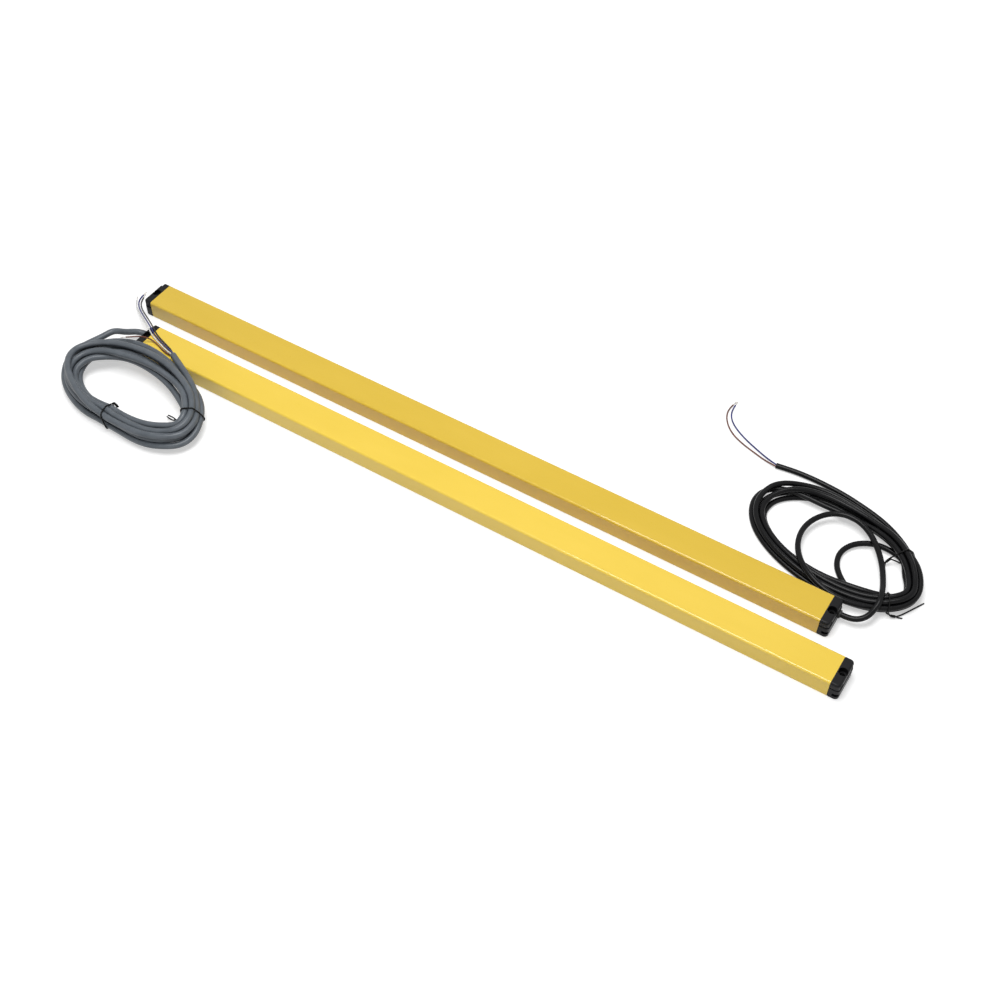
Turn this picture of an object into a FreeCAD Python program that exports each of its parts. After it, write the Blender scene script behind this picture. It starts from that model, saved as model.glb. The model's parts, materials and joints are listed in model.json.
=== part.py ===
"""Safety light curtain: an emitter bar and a receiver bar, each with its own coiled cable.

Both bars lie side by side with their windows down. X runs along the bars, Y across them, Z up.
The origin is on the floor under the middle of the pair. All lengths are in millimetres.
"""
import FreeCAD, Part
import math
import os
import re

import Sketcher
from FreeCAD import Placement, Rotation, Vector

os.makedirs("parts", exist_ok=True)
doc = FreeCAD.newDocument("light_curtain")

# The driving sizes
SIZES = [
    ("bar_length", 702, "length of the extruded profile"),
    ("bar_width", 30, "width of the profile"),
    ("bar_height", 18, "height of the profile"),
    ("bar_pitch", 50, "distance between the centre lines of the two bars"),
    ("bar_stagger", 31, "how far one bar is shifted along the other"),
    ("top_round", 2, "radius of the profile's upper long edges"),
    ("foot_round", 0.8, "radius of the profile's lower long edges"),
    ("side_wall", 1.6, "wall of the profile at its sides and top"),
    ("lip_depth", 1.2, "thickness of the lips that hold the window"),
    ("lip_width", 4, "width of each lip, measured from the bar's side"),
    ("groove_wall", 2, "wall left beside the window groove"),
    ("groove_depth", 2.2, "height of the window groove"),
    ("ledge_depth", 1, "thickness of the ledges above the window groove"),
    ("ledge_width", 3.5, "width of each ledge, measured from the bar's side"),
    ("rib_reach", 1.2, "how far the board ribs stand out from the side walls"),
    ("rib_depth", 0.9, "thickness of the board ribs"),
    ("boss_reach", 4.9, "how far the screw bosses stand out from the side walls"),
    ("boss_bore", 2.6, "bore of the screw bosses"),
    ("boss_inset", 4.5, "screw boss centre from the bar's side"),
    ("boss_drop", 4, "screw boss centre below the bar's top"),
    ("fit_gap", 0.1, "running clearance of pieces that slide into one another"),
    ("window_depth", 2, "thickness of the front window"),
    ("gasket_depth", 0.6, "thickness of the end gaskets"),
    ("gasket_inset", 0.3, "how far the gasket lies inside the profile's outline"),
    ("gasket_border", 2.4, "width of the gasket's frame"),
    ("cap_reach", 8.4, "length of an end cap outside the gasket"),
    ("cap_corner", 3.5, "radius of the cap's upright outer corners"),
    ("cap_edge", 0.5, "radius of the small edges round the cap's lower block"),
    ("base_level", 10.8, "top of the cap's lower block"),
    ("head_level", 12, "underside of the cap's upper block"),
    ("neck_inset", 0.9, "depth of the joint line between the two blocks"),
    ("head_inset", 0.5, "how far the upper block stands back at the end"),
    ("tongue_reach", 6, "length of the tongue inside the profile"),
    ("tongue_inset", 7.5, "the tongue's sides from the bar's sides"),
    ("tongue_foot", 4.8, "underside of the tongue"),
    ("tongue_top", 11, "top of the tongue"),
    ("mount_bore", 4.5, "mounting hole for an M4 screw"),
    ("mount_mouth", 8, "counterbore of the mounting hole"),
    ("mount_depth", 5, "depth of the counterbore"),
    ("mount_inset", 4.6, "mounting hole centre from the cap's outer end"),
    ("notch_reach", 3, "length of the corner notch"),
    ("notch_width", 5, "width of the corner notch"),
    ("slot_reach", 5.4, "length of the side slot"),
    ("slot_width", 2.4, "depth of the side slot"),
    ("slot_foot", 3.4, "underside of the side slot"),
    ("slot_top", 6.4, "top of the side slot"),
    ("screw_bore", 3, "clearance hole for a cap screw"),
    ("screw_shank", 2.5, "diameter of a cap screw"),
    ("screw_head", 4.4, "head diameter of a cap screw"),
    ("screw_head_depth", 1.8, "head height of a cap screw"),
    ("screw_length", 13, "length of a cap screw under its head"),
    ("screw_seat", 3, "how deep the screw's seat lies in the cap"),
    ("screw_mouth", 5, "counterbore over a cap screw"),
    ("drive_width", 0.7, "width of the screw's cross slots"),
    ("drive_depth", 0.9, "depth of the screw's cross slots"),
    ("cable_inset", 7.5, "cable exit from the bar's far side"),
    ("cable_level", 7.2, "cable exit above the floor"),
    ("gland_wall", 1.1, "wall of the cable gland"),
    ("gland_reach", 1.5, "how far the gland stands out of the cap"),
    ("gland_flange", 1, "thickness of the gland's inner flange"),
    ("emitter_cable", 5, "diameter of the emitter's cable"),
    ("receiver_cable", 6, "diameter of the receiver's cable"),
    ("core_width", 1.4, "diameter of a cable core"),
    ("strand_width", 0.8, "diameter of a core's bare end"),
    ("strand_length", 6, "length of a core's bare end"),
    ("board_drop", 7.6, "underside of the circuit board below the bar's top"),
    ("board_depth", 1.6, "thickness of the circuit board"),
    ("board_inset", 12, "board end from the profile's end, plain side"),
    ("board_retreat", 34, "board end from the profile's end, cable side"),
    ("beam_pitch", 40, "distance between beams"),
    ("first_beam", 11, "first beam from the board's plain end"),
    ("holder_width", 16, "width of the optics holder"),
    ("holder_bore", 7, "bore of each light tube in the holder"),
    ("lens_depth", 0.9, "thickness of the lens strip"),
    ("lens_width", 13, "width of the lens strip"),
    ("lens_bulge", 0.5, "height of each lens on its strip"),
    ("diode_width", 5, "diameter of a diode"),
    ("diode_retreat", 1.4, "how far a diode's face lies inside its tube"),
    ("lamp_width", 3, "diameter of an indicator lamp"),
    ("lamp_spacing", 7, "distance between the two indicator lamps"),
    ("chip_length", 10, "length of the control chip"),
    ("chip_width", 7, "width of the chips"),
    ("chip_depth", 1.4, "height of the chips"),
    ("chip_spacing", 120, "distance between the chips"),
    ("plug_length", 9, "length of the board connector"),
    ("plug_width", 11, "width of the board connector"),
    ("plug_depth", 3.6, "height of the board connector"),
    ("wire_width", 1.2, "diameter of the inner wires"),
    ("wire_spacing", 1.7, "distance between the inner wires at the connector"),
    ("wire_bunch", 1.22, "distance between the inner wires at the gland"),
    ("wire_start", 7, "first stretch of the inner wires, out of the connector"),
    ("wire_finish", 12, "last stretch of the inner wires, into the gland"),
    ("tie_width", 1.3, "thickness of a twist tie"),
    ("tie_end_width", 1.2, "thickness of a twist tie's loose end"),
    ("tie_gap", 0.2, "clearance between a tie and its coil"),
    ("emitter_coil_rise", 9.8, "height of the emitter's coil"),
    ("receiver_coil_rise", 13, "height of the receiver's coil"),
]

sheet = doc.addObject("Spreadsheet::Sheet", "Sizes")
for row, (alias, number, note) in enumerate(SIZES, start=1):
    sheet.set(f"A{row}", note)
    sheet.set(f"B{row}", str(number))
    sheet.setAlias(f"B{row}", alias)
doc.recompute()

ALIASES = {alias for alias, _, _ in SIZES}

# Places that follow from the driving sizes
BOSS_OFFSET = "(bar_width / 2 - boss_inset)"
BOSS_LEVEL = "(bar_height - boss_drop)"
CABLE_OFFSET = "(bar_width / 2 - cable_inset)"
LEDGE_TOP = "(lip_depth + groove_depth + ledge_depth)"
BOARD_LEVEL = "(bar_height - board_drop)"
HOLDER_FOOT = f"({LEDGE_TOP} + lens_bulge + lens_depth)"
HOLDER_DEPTH = f"({BOARD_LEVEL} - {HOLDER_FOOT})"


def size(alias):
    """Return one driving size, or a plain zero, as a number."""
    return 0.0 if alias == "0" else float(sheet.get(alias))


def bound(text):
    """Turn a formula of size names into an expression that reads the sheet."""
    return re.sub(r"[a-z_]+", lambda m: "Sizes." + m[0] if m[0] in ALIASES else m[0], text)


def bind(item, **formulas):
    """Bind properties of an object to formulas of the driving sizes."""
    for name, formula in formulas.items():
        item.setExpression(name, bound(formula))


def place(item, x="0", y="0", z="0"):
    """Bind an object's position to three formulas."""
    for axis, formula in zip("xyz", (x, y, z)):
        item.setExpression("Placement.Base." + axis, bound(formula))


def origin_plane(body, role):
    """Return one of a body's own origin planes."""
    return next(f for f in body.Origin.OriginFeatures if f.Role == role)


def new_body(label, x="0", y="0", z="0"):
    """Start a body whose own origin lies at the given place."""
    body = doc.addObject("PartDesign::Body", label)
    body.Label = label
    place(body, x, y, z)
    return body


def new_sketch(body, name, role, level="0"):
    """Start a sketch on one of the body's origin planes, lifted to a level above it."""
    sketch = body.newObject("Sketcher::SketchObject", name)
    sketch.AttachmentSupport = [(origin_plane(body, role), "")]
    sketch.MapMode = "FlatFace"
    sketch.setExpression("AttachmentOffset.Base.z", bound(level))
    return sketch


def add_rectangle(sketch, x_start, x_end, y_start, y_end):
    """Draw a rectangle whose four sides are bound to formulas."""
    first = sketch.GeometryCount
    corners = [Vector(-1, -1, 0), Vector(1, -1, 0), Vector(1, 1, 0), Vector(-1, 1, 0)]
    for here, there in zip(corners, corners[1:] + corners[:1]):
        sketch.addGeometry(Part.LineSegment(here, there), False)
    for side in range(4):
        sketch.addConstraint(
            Sketcher.Constraint("Coincident", first + side, 2, first + (side + 1) % 4, 1))
    for side, kind in enumerate(("Horizontal", "Vertical", "Horizontal", "Vertical")):
        sketch.addConstraint(Sketcher.Constraint(kind, first + side))
    for side, kind, number, formula in (
        (0, "DistanceX", -1, x_start),
        (0, "DistanceY", -1, y_start),
        (2, "DistanceX", 1, x_end),
        (2, "DistanceY", 1, y_end),
    ):
        index = sketch.addConstraint(Sketcher.Constraint(kind, first + side, 1, number))
        sketch.setExpression(f"Constraints[{index}]", bound(formula))


def add_circle(sketch, x, y, diameter):
    """Draw a circle whose centre and diameter are bound to formulas."""
    circle = sketch.addGeometry(Part.Circle(Vector(1, 1, 0), Vector(0, 0, 1), 1), False)
    for kind, formula in (("DistanceX", x), ("DistanceY", y)):
        index = sketch.addConstraint(Sketcher.Constraint(kind, circle, 3, 1))
        sketch.setExpression(f"Constraints[{index}]", bound(formula))
    index = sketch.addConstraint(Sketcher.Constraint("Diameter", circle, 2))
    sketch.setExpression(f"Constraints[{index}]", bound(diameter))


def add_pad(body, name, sketch, length, backwards=False):
    """Extrude a sketch by a bound length."""
    pad = body.newObject("PartDesign::Pad", name)
    pad.Profile = sketch
    pad.Reversed = backwards
    pad.setExpression("Length", bound(length))
    body.Tip = pad
    doc.recompute()
    return pad


def add_pocket(body, name, sketch, length, along_normal):
    """Cut a sketch by a bound length and make sure that it removed something."""
    before = body.Shape.Volume
    pocket = body.newObject("PartDesign::Pocket", name)
    pocket.Profile = sketch
    pocket.Reversed = along_normal
    pocket.setExpression("Length", bound(length))
    body.Tip = pocket
    doc.recompute()
    if body.Shape.Volume >= before:
        raise RuntimeError(f"{body.Label}: {name} cuts nothing")
    return pocket


def add_fillet(body, name, wanted, radius):
    """Round the edges that a test picks from the body's present shape."""
    base = body.Tip
    names = [f"Edge{n}" for n, edge in enumerate(base.Shape.Edges, start=1) if wanted(edge)]
    if not names:
        raise RuntimeError(f"{body.Label}: {name} found no edge")
    fillet = body.newObject("PartDesign::Fillet", name)
    fillet.Base = (base, names)
    fillet.setExpression("Radius", bound(radius))
    body.Tip = fillet
    doc.recompute()
    return fillet


def near(a, b):
    """Tell whether two lengths are the same."""
    return abs(a - b) < 1e-4


def ends(edge):
    """Return the two end points of an edge."""
    return edge.Vertexes[0].Point, edge.Vertexes[-1].Point


def make_box(name, x, y, z, length, width, height):
    """Make a box from its lowest corner and its bound sizes."""
    box = doc.addObject("Part::Box", name)
    bind(box, Length=length, Width=width, Height=height)
    place(box, x, y, z)
    return box


def make_rod(name, x, y, z, diameter, length, along_x=False):
    """Make a cylinder that stands up, or one that points along X."""
    rod = doc.addObject("Part::Cylinder", name)
    if along_x:
        rod.Placement = Placement(Vector(), Rotation(Vector(0, 1, 0), 90))
    bind(rod, Radius=f"({diameter}) / 2", Height=length)
    place(rod, x, y, z)
    return rod


def join(name, pieces):
    """Fuse several solids into one."""
    fused = doc.addObject("Part::MultiFuse", name)
    fused.Shapes = pieces
    return fused


def group(name, pieces):
    """Keep several separate solids together as one piece of the list."""
    bundle = doc.addObject("Part::Compound", name)
    bundle.Links = pieces
    return bundle


def cut(name, base, tool):
    """Take one solid away from another."""
    rest = doc.addObject("Part::Cut", name)
    rest.Base = base
    rest.Tool = tool
    return rest


# The two bars: where they lie, which end the cable leaves by, how many cores it has
class Bar:
    """One bar of the pair, with its place and the side of its cable."""

    def __init__(self, name, sign, cable_way, cable, colours):
        self.name = name
        self.cable_way = cable_way
        self.cable = cable
        self.colours = colours
        self.x = f"{-sign} * bar_stagger / 2"
        self.y = f"{sign} * bar_pitch / 2"
        self.x_middle = -sign * size("bar_stagger") / 2
        self.y_middle = sign * size("bar_pitch") / 2
        self.cable_y = self.y_middle + size("bar_width") / 2 - size("cable_inset")

    def label(self, piece):
        return f"{self.name}_{piece}"

    def end(self, way):
        """Formula of the profile's end on one side."""
        return f"{self.x} + {way} * bar_length / 2"


EMITTER = Bar("emitter", 1, 1, "emitter_cable", ("blue", "brown"))
RECEIVER = Bar("receiver", -1, -1, "receiver_cable", ("blue", "black", "brown", "white"))
BARS = (EMITTER, RECEIVER)

nodes = []


def keep(item, label):
    """Put a finished sub-part on the list of pieces that are written out."""
    item.Label = label
    nodes.append(item)
    return item


# The extruded profile: a box section, open below, with window grooves, ribs and screw bosses
def make_housing(bar):
    body = new_body(bar.label("housing"), bar.end(-1), bar.y)
    outline = new_sketch(body, bar.label("section"), "YZ_Plane")
    add_rectangle(outline, "-bar_width / 2", "bar_width / 2", "0", "bar_height")
    add_pad(body, bar.label("extrusion"), outline, "bar_length")
    half = size("bar_width") / 2

    def long_edge_at(level):
        def test(edge):
            a, b = ends(edge)
            return near(a.z, level) and near(b.z, level) and near(a.y, b.y) and near(abs(a.y), half)
        return test

    add_fillet(body, bar.label("top_edges"), long_edge_at(size("bar_height")), "top_round")
    add_fillet(body, bar.label("foot_edges"), long_edge_at(0), "foot_round")
    for name, wall, foot, top in (
        ("cavity", "side_wall", LEDGE_TOP, "bar_height - side_wall"),
        ("neck", "ledge_width", "lip_depth", LEDGE_TOP),
        ("window_groove", "groove_wall", "lip_depth", "lip_depth + groove_depth"),
        ("mouth", "lip_width", "-lip_depth", "lip_depth"),
    ):
        sketch = new_sketch(body, bar.label(name + "_outline"), "YZ_Plane")
        add_rectangle(sketch, f"-bar_width / 2 + {wall}", f"bar_width / 2 - {wall}", foot, top)
        add_pocket(body, bar.label(name), sketch, "bar_length", True)
    rails = new_sketch(body, bar.label("rail_outlines"), "YZ_Plane")
    for side in (1, -1):
        wall = f"{side} * (bar_width / 2 - side_wall"
        foot = f"{BOARD_LEVEL} - fit_gap - rib_depth"
        add_rectangle(rails, wall + ")", wall + " - rib_reach)", foot, foot + " + rib_depth")
        foot = f"{BOARD_LEVEL} + board_depth + fit_gap"
        add_rectangle(rails, wall + ")", wall + " - boss_reach)", foot, "bar_height - side_wall")
    add_pad(body, bar.label("rails"), rails, "bar_length")
    bores = new_sketch(body, bar.label("boss_bores"), "YZ_Plane")
    for side in (1, -1):
        add_circle(bores, f"{side} * {BOSS_OFFSET}", BOSS_LEVEL, "boss_bore")
    add_pocket(body, bar.label("boss_bore_cuts"), bores, "bar_length", True)
    return keep(body, bar.label("housing"))


# The smoked red window slides into the grooves between the two caps
def make_window(bar):
    body = new_body(bar.label("front_window"), bar.end(-1), bar.y)
    outline = new_sketch(body, bar.label("window_outline"), "YZ_Plane", "fit_gap")
    half = "(bar_width / 2 - groove_wall - fit_gap)"
    foot = "lip_depth + (groove_depth - window_depth) / 2"
    add_rectangle(outline, f"-{half}", half, foot, foot + " + window_depth")
    add_pad(body, bar.label("window_strip"), outline, "bar_length - 2 * fit_gap")
    return keep(body, bar.label("front_window"))


def make_gasket(bar, way, kind):
    """A rubber frame between the profile's end and its cap."""
    label = bar.label(kind + "_gasket")
    body = new_body(label, bar.end(way), bar.y)
    outline = new_sketch(body, label + "_outline", "YZ_Plane")
    half = "bar_width / 2 - gasket_inset"
    add_rectangle(outline, f"-({half})", half, "gasket_inset", "bar_height - gasket_inset")
    add_pad(body, label + "_sheet", outline, "gasket_depth", way < 0)
    limit = size("bar_width") / 2 - size("gasket_inset")
    top = size("bar_height") - size("gasket_inset")

    def upper_corner(edge):
        a, b = ends(edge)
        return near(a.y, b.y) and near(abs(a.y), limit) and near(a.z, top) and near(b.z, top)

    add_fillet(body, label + "_corners", upper_corner, "top_round - gasket_inset")
    opening = new_sketch(body, label + "_opening", "YZ_Plane")
    half = "bar_width / 2 - gasket_border"
    add_rectangle(opening, f"-({half})", half, "gasket_border", "bar_height - gasket_border")
    add_pocket(body, label + "_window", opening, "gasket_depth", way > 0)
    return keep(body, label)


def outer_corners(way, reach, foot, half):
    """Test for the two upright edges at a cap block's outer end."""
    def test(edge):
        a, b = ends(edge)
        upright = near(a.x, b.x) and near(a.y, b.y) and not near(a.z, b.z)
        return upright and near(a.x, way * reach) and near(abs(a.y), half) and near(min(a.z, b.z), foot)
    return test


# The three blocks of a cap, from below: name, underside, top, inset of its end, inset of its sides
CAP_BLOCKS = (
    ("base", "0", "base_level", "0", "0"),
    ("neck", "base_level", "head_level", "neck_inset", "neck_inset"),
    ("head", "head_level", "bar_height", "head_inset", "0"),
)


def make_cap(bar, way, kind):
    """A moulded end cap: lower block, neck, upper block, tongue, and its holes."""
    label = bar.label(kind + "_end_cap")
    body = new_body(label, f"{bar.end(way)} + {way} * gasket_depth", bar.y)
    half_width = size("bar_width") / 2
    for name, foot, top, end_inset, side_inset in CAP_BLOCKS:
        sketch = new_sketch(body, f"{label}_{name}_outline", "XY_Plane", foot)
        half = f"(bar_width / 2 - {side_inset})"
        add_rectangle(sketch, "0", f"{way} * (cap_reach - {end_inset})", f"-{half}", half)
        add_pad(body, f"{label}_{name}", sketch, f"{top} - ({foot})")
    for name, foot, _, end_inset, side_inset in CAP_BLOCKS:
        reach = size("cap_reach") - size(end_inset)
        corners = outer_corners(way, reach, size(foot), half_width - size(side_inset))
        add_fillet(body, f"{label}_{name}_corners", corners, "cap_corner")

    def side_edge_at(*levels):
        def test(edge):
            a, b = ends(edge)
            beside = near(a.y, b.y) and near(abs(a.y), half_width)
            return beside and near(a.z, b.z) and any(near(a.z, level) for level in levels)
        return test

    shoulders = side_edge_at(size("bar_height"))
    add_fillet(body, label + "_shoulders", shoulders, "top_round")
    small_edges = side_edge_at(0, size("base_level"))
    add_fillet(body, label + "_small_edges", small_edges, "cap_edge")
    tongue = new_sketch(body, label + "_tongue_outline", "YZ_Plane")
    half = "(bar_width / 2 - tongue_inset)"
    add_rectangle(tongue, f"-{half}", half, "tongue_foot", "tongue_top")
    add_pad(body, label + "_tongue", tongue, "tongue_reach + gasket_depth", way > 0)
    add_mount_hole(body, label, way)
    add_screw_seats(body, label, way)
    if way < 0:
        add_corner_notch(body, label, way)
    else:
        add_side_slot(body, label, way)
    if kind == "cable":
        bore = new_sketch(body, label + "_cable_hole", "YZ_Plane",
                          f"{-way} * (tongue_reach + gasket_depth)")
        add_circle(bore, CABLE_OFFSET, "cable_level", f"{bar.cable} + 2 * (gland_wall + fit_gap)")
        add_pocket(body, label + "_cable_bore", bore,
                   "tongue_reach + gasket_depth + cap_reach", way > 0)
        flange = new_sketch(body, label + "_flange_seat", "YZ_Plane")
        add_circle(flange, CABLE_OFFSET, "cable_level",
                   f"{bar.cable} + 4 * gland_wall + 2 * fit_gap")
        add_pocket(body, label + "_flange_recess", flange, "gland_flange + fit_gap", way > 0)
    return keep(body, label)


def add_mount_hole(body, label, way):
    """The upright mounting hole with its counterbore."""
    x = f"{way} * (cap_reach - mount_inset)"
    hole = new_sketch(body, label + "_mount_hole", "XY_Plane")
    add_circle(hole, x, "0", "mount_bore")
    add_pocket(body, label + "_mount_bore", hole, "bar_height", True)
    mouth = new_sketch(body, label + "_mount_mouth", "XY_Plane", "bar_height - mount_depth")
    add_circle(mouth, x, "0", "mount_mouth")
    add_pocket(body, label + "_mount_counterbore", mouth, "mount_depth", True)


def add_screw_seats(body, label, way):
    """Two clearance holes with counterbores for the screws that hold the cap."""
    holes = new_sketch(body, label + "_screw_holes", "YZ_Plane")
    mouths = new_sketch(body, label + "_screw_mouths", "YZ_Plane",
                        f"{way} * (cap_reach - screw_seat)")
    for side in (1, -1):
        add_circle(holes, f"{side} * {BOSS_OFFSET}", BOSS_LEVEL, "screw_bore")
        add_circle(mouths, f"{side} * {BOSS_OFFSET}", BOSS_LEVEL, "screw_mouth")
    add_pocket(body, label + "_screw_bores", holes, "cap_reach", way > 0)
    add_pocket(body, label + "_screw_counterbores", mouths, "screw_seat", way > 0)


def add_corner_notch(body, label, way):
    """A notch in the far outer corner of the upper block, over one of the screws."""
    notch = new_sketch(body, label + "_notch_outline", "XY_Plane", "head_level - neck_inset")
    add_rectangle(notch, f"{way} * (cap_reach - notch_reach)", f"{way} * (cap_reach + neck_inset)",
                  "bar_width / 2 - notch_width", "bar_width / 2 + neck_inset")
    add_pocket(body, label + "_notch", notch, "bar_height", True)


def add_side_slot(body, label, way):
    """A low slot in the near outer corner of the lower block."""
    slot = new_sketch(body, label + "_slot_outline", "XY_Plane", "slot_foot")
    add_rectangle(slot, f"{way} * (cap_reach - slot_reach)", f"{way} * (cap_reach + neck_inset)",
                  "-bar_width / 2 - neck_inset", "-bar_width / 2 + slot_width")
    add_pocket(body, label + "_slot", slot, "slot_top - slot_foot", True)


# Two self-tapping screws at each end go through the cap into the profile's bosses
def make_screws(bar):
    pieces = []
    for way in (1, -1):
        for side in (1, -1):
            pieces.append(make_screw(bar, way, side))
    return keep(group(bar.label("cap_screws"), pieces), bar.label("cap_screws"))


def make_screw(bar, way, side):
    """One pan head screw with a cross recess, lying along X."""
    name = bar.label(f"screw_{'right' if way > 0 else 'left'}_{'far' if side > 0 else 'near'}")
    seat = f"{bar.end(way)} + {way} * (gasket_depth + cap_reach - screw_seat)"
    y = f"{bar.y} + {side} * {BOSS_OFFSET}"
    head_start = seat if way > 0 else f"{seat} - screw_head_depth"
    shank_start = f"{seat} - screw_length" if way > 0 else seat
    head = make_rod(name + "_head", head_start, y, BOSS_LEVEL, "screw_head", "screw_head_depth", True)
    shank = make_rod(name + "_shank", shank_start, y, BOSS_LEVEL, "screw_shank", "screw_length", True)
    blank = join(name + "_blank", [head, shank])
    slot_start = f"{seat} + {way} * (screw_head_depth - drive_depth / 2) - drive_depth"
    slots = []
    for tag, width, height in (("level", "screw_head * 0.7", "drive_width"),
                               ("upright", "drive_width", "screw_head * 0.7")):
        slots.append(make_box(f"{name}_{tag}_slot", slot_start,
                              f"{y} - ({width}) / 2", f"{BOSS_LEVEL} - ({height}) / 2",
                              "2 * drive_depth", width, height))
    return cut(name, blank, join(name + "_recess", slots))


# The rubber gland that the cable leaves by
def make_gland(bar):
    label = bar.label("cable_gland")
    way = bar.cable_way
    x = f"{bar.end(way)} + {way} * gasket_depth"
    y = f"{bar.y} + {CABLE_OFFSET}"
    sleeve = "cap_reach + gland_reach"
    start = x if way > 0 else f"{x} - ({sleeve})"
    tube = make_rod(label + "_sleeve", start, y, "cable_level", f"{bar.cable} + 2 * gland_wall",
                    sleeve, True)
    start = x if way > 0 else f"{x} - gland_flange"
    flange = make_rod(label + "_flange", start, y, "cable_level", f"{bar.cable} + 4 * gland_wall",
                      "gland_flange", True)
    start = f"{x} - gland_flange" if way > 0 else f"{x} - ({sleeve}) - gland_flange"
    bore = make_rod(label + "_bore", start, y, "cable_level", f"{bar.cable} - 4 * fit_gap",
                    f"{sleeve} + 2 * gland_flange", True)
    return keep(cut(label, join(label + "_blank", [tube, flange]), bore), label)


# The circuit board and all that sits on it
def board_ends(bar):
    """Formulas of the board's left end and of its length."""
    left = "board_inset" if bar.cable_way > 0 else "board_retreat"
    return f"{bar.end(-1)} + {left}", "bar_length - board_inset - board_retreat"


def beam_count():
    """How many beams fit on the board at the chosen pitch."""
    room = size("bar_length") - size("board_inset") - size("board_retreat") - 2 * size("first_beam")
    return int(room // size("beam_pitch")) + 1


def beam_place(bar, number):
    """Formula of one beam's place along the bar, counted from the plain end."""
    way = bar.cable_way
    return f"{bar.end(-way)} + {way} * (board_inset + first_beam + {number} * beam_pitch)"


def make_board(bar):
    start, length = board_ends(bar)
    half = "(bar_width / 2 - side_wall - 2 * fit_gap)"
    label = bar.label("circuit_board")
    board = make_box(label, start, f"{bar.y} - {half}", BOARD_LEVEL, length, f"2 * {half}",
                     "board_depth")
    return keep(board, label)


def make_optics(bar):
    """The holder with its light tubes, the lens strip and the diodes in the tubes."""
    start, length = board_ends(bar)
    beams = [beam_place(bar, number) for number in range(beam_count())]
    label = bar.label("optics_holder")
    block = make_box(label + "_block", start, f"{bar.y} - holder_width / 2", HOLDER_FOOT, length,
                     "holder_width", HOLDER_DEPTH)
    foot = f"{HOLDER_FOOT} - fit_gap"
    depth = f"{HOLDER_DEPTH} + 2 * fit_gap"
    tubes = [make_rod(f"{label}_tube_{n}", x, bar.y, foot, "holder_bore", depth)
             for n, x in enumerate(beams)]
    lamps = [make_rod(f"{label}_lamp_hole_{n}", x, bar.y, foot, "lamp_width + 2 * fit_gap", depth)
             for n, x in enumerate(lamp_places(bar))]
    keep(cut(label, block, join(label + "_holes", tubes + lamps)), label)
    label = bar.label("lens_strip")
    foot = f"{HOLDER_FOOT} - lens_depth"
    plate = make_box(label + "_plate", start, f"{bar.y} - lens_width / 2", foot, length,
                     "lens_width", "lens_depth")
    lenses = [make_lens(f"{label}_lens_{n}", x, bar.y, foot) for n, x in enumerate(beams)]
    keep(join(label, [plate] + lenses), label)
    label = bar.label("infrared_diodes" if bar is EMITTER else "photo_diodes")
    diodes = [make_rod(f"{label}_{n}", x, bar.y, f"{HOLDER_FOOT} + diode_retreat", "diode_width",
                       f"{HOLDER_DEPTH} - diode_retreat") for n, x in enumerate(beams)]
    keep(group(label, diodes), label)


def make_lens(name, x, y, level):
    """One shallow lens under the strip."""
    lens = doc.addObject("Part::Cone", name)
    bind(lens, Radius1="holder_bore / 3", Radius2="holder_bore / 2", Height="lens_bulge")
    place(lens, x, y, f"{level} - lens_bulge")
    return lens


def lamp_places(bar):
    """Formulas of the two indicator lamps, between the last beam and the board's cable end."""
    way = bar.cable_way
    end = f"{bar.end(way)} - {way} * board_retreat"
    return [f"{end} - {way} * (lamp_width + {n} * lamp_spacing)" for n in (0, 1)]


def make_lamps(bar):
    label = bar.label("indicator_lamps")
    lamps = [make_rod(f"{label}_{n}", x, bar.y, HOLDER_FOOT, "lamp_width", HOLDER_DEPTH)
             for n, x in enumerate(lamp_places(bar))]
    keep(group(label, lamps), label)


def make_chips(bar):
    """The chips on the upper side of the board."""
    label = bar.label("control_chips")
    top = f"{BOARD_LEVEL} + board_depth"
    chips = []
    for number in (-2, -1, 0, 1, 2):
        length = "chip_length" if number == 0 else "chip_length / 2"
        x = f"{bar.x} + {number} * chip_spacing - ({length}) / 2"
        chips.append(make_box(f"{label}_{number + 3}", x, f"{bar.y} - chip_width / 2", top, length,
                              "chip_width", "chip_depth"))
    keep(group(label, chips), label)


def make_wiring(bar):
    """The connector on the board and the wires from it to the gland."""
    way = bar.cable_way
    top = f"{BOARD_LEVEL} + board_depth"
    end = f"{bar.end(way)} - {way} * board_retreat"
    label = bar.label("board_connector")
    start = f"{end} - plug_length" if way > 0 else end
    keep(make_box(label, start, f"{bar.y} - plug_width / 2", top, "plug_length", "plug_width",
                  "plug_depth"), label)
    keep(make_part(bar.label("inner_wires"), inner_wires(bar)), bar.label("inner_wires"))


def make_part(name, shape):
    """Put a shape that is worked out in code into the document."""
    feature = doc.addObject("Part::Feature", name)
    feature.Shape = shape
    return feature


def tube_along(points, diameter):
    """Sweep a round section along straight runs joined by tangent arcs."""
    edges, turns = rounded_path(points)
    path = Part.Wire(edges)
    start = edges[0].firstVertex().Point
    direction = points[1] - points[0]
    section = Part.Wire([Part.Circle(start, direction, diameter / 2).toShape()])
    tube = path.makePipeShell([section], True, True)
    expected = math.pi * diameter ** 2 / 4 * path.Length
    if abs(tube.Volume / expected - 1) > 0.01:
        raise RuntimeError("a tube's volume is not its section times its length")
    return tube, path.Length, min(turns) if turns else 0


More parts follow.
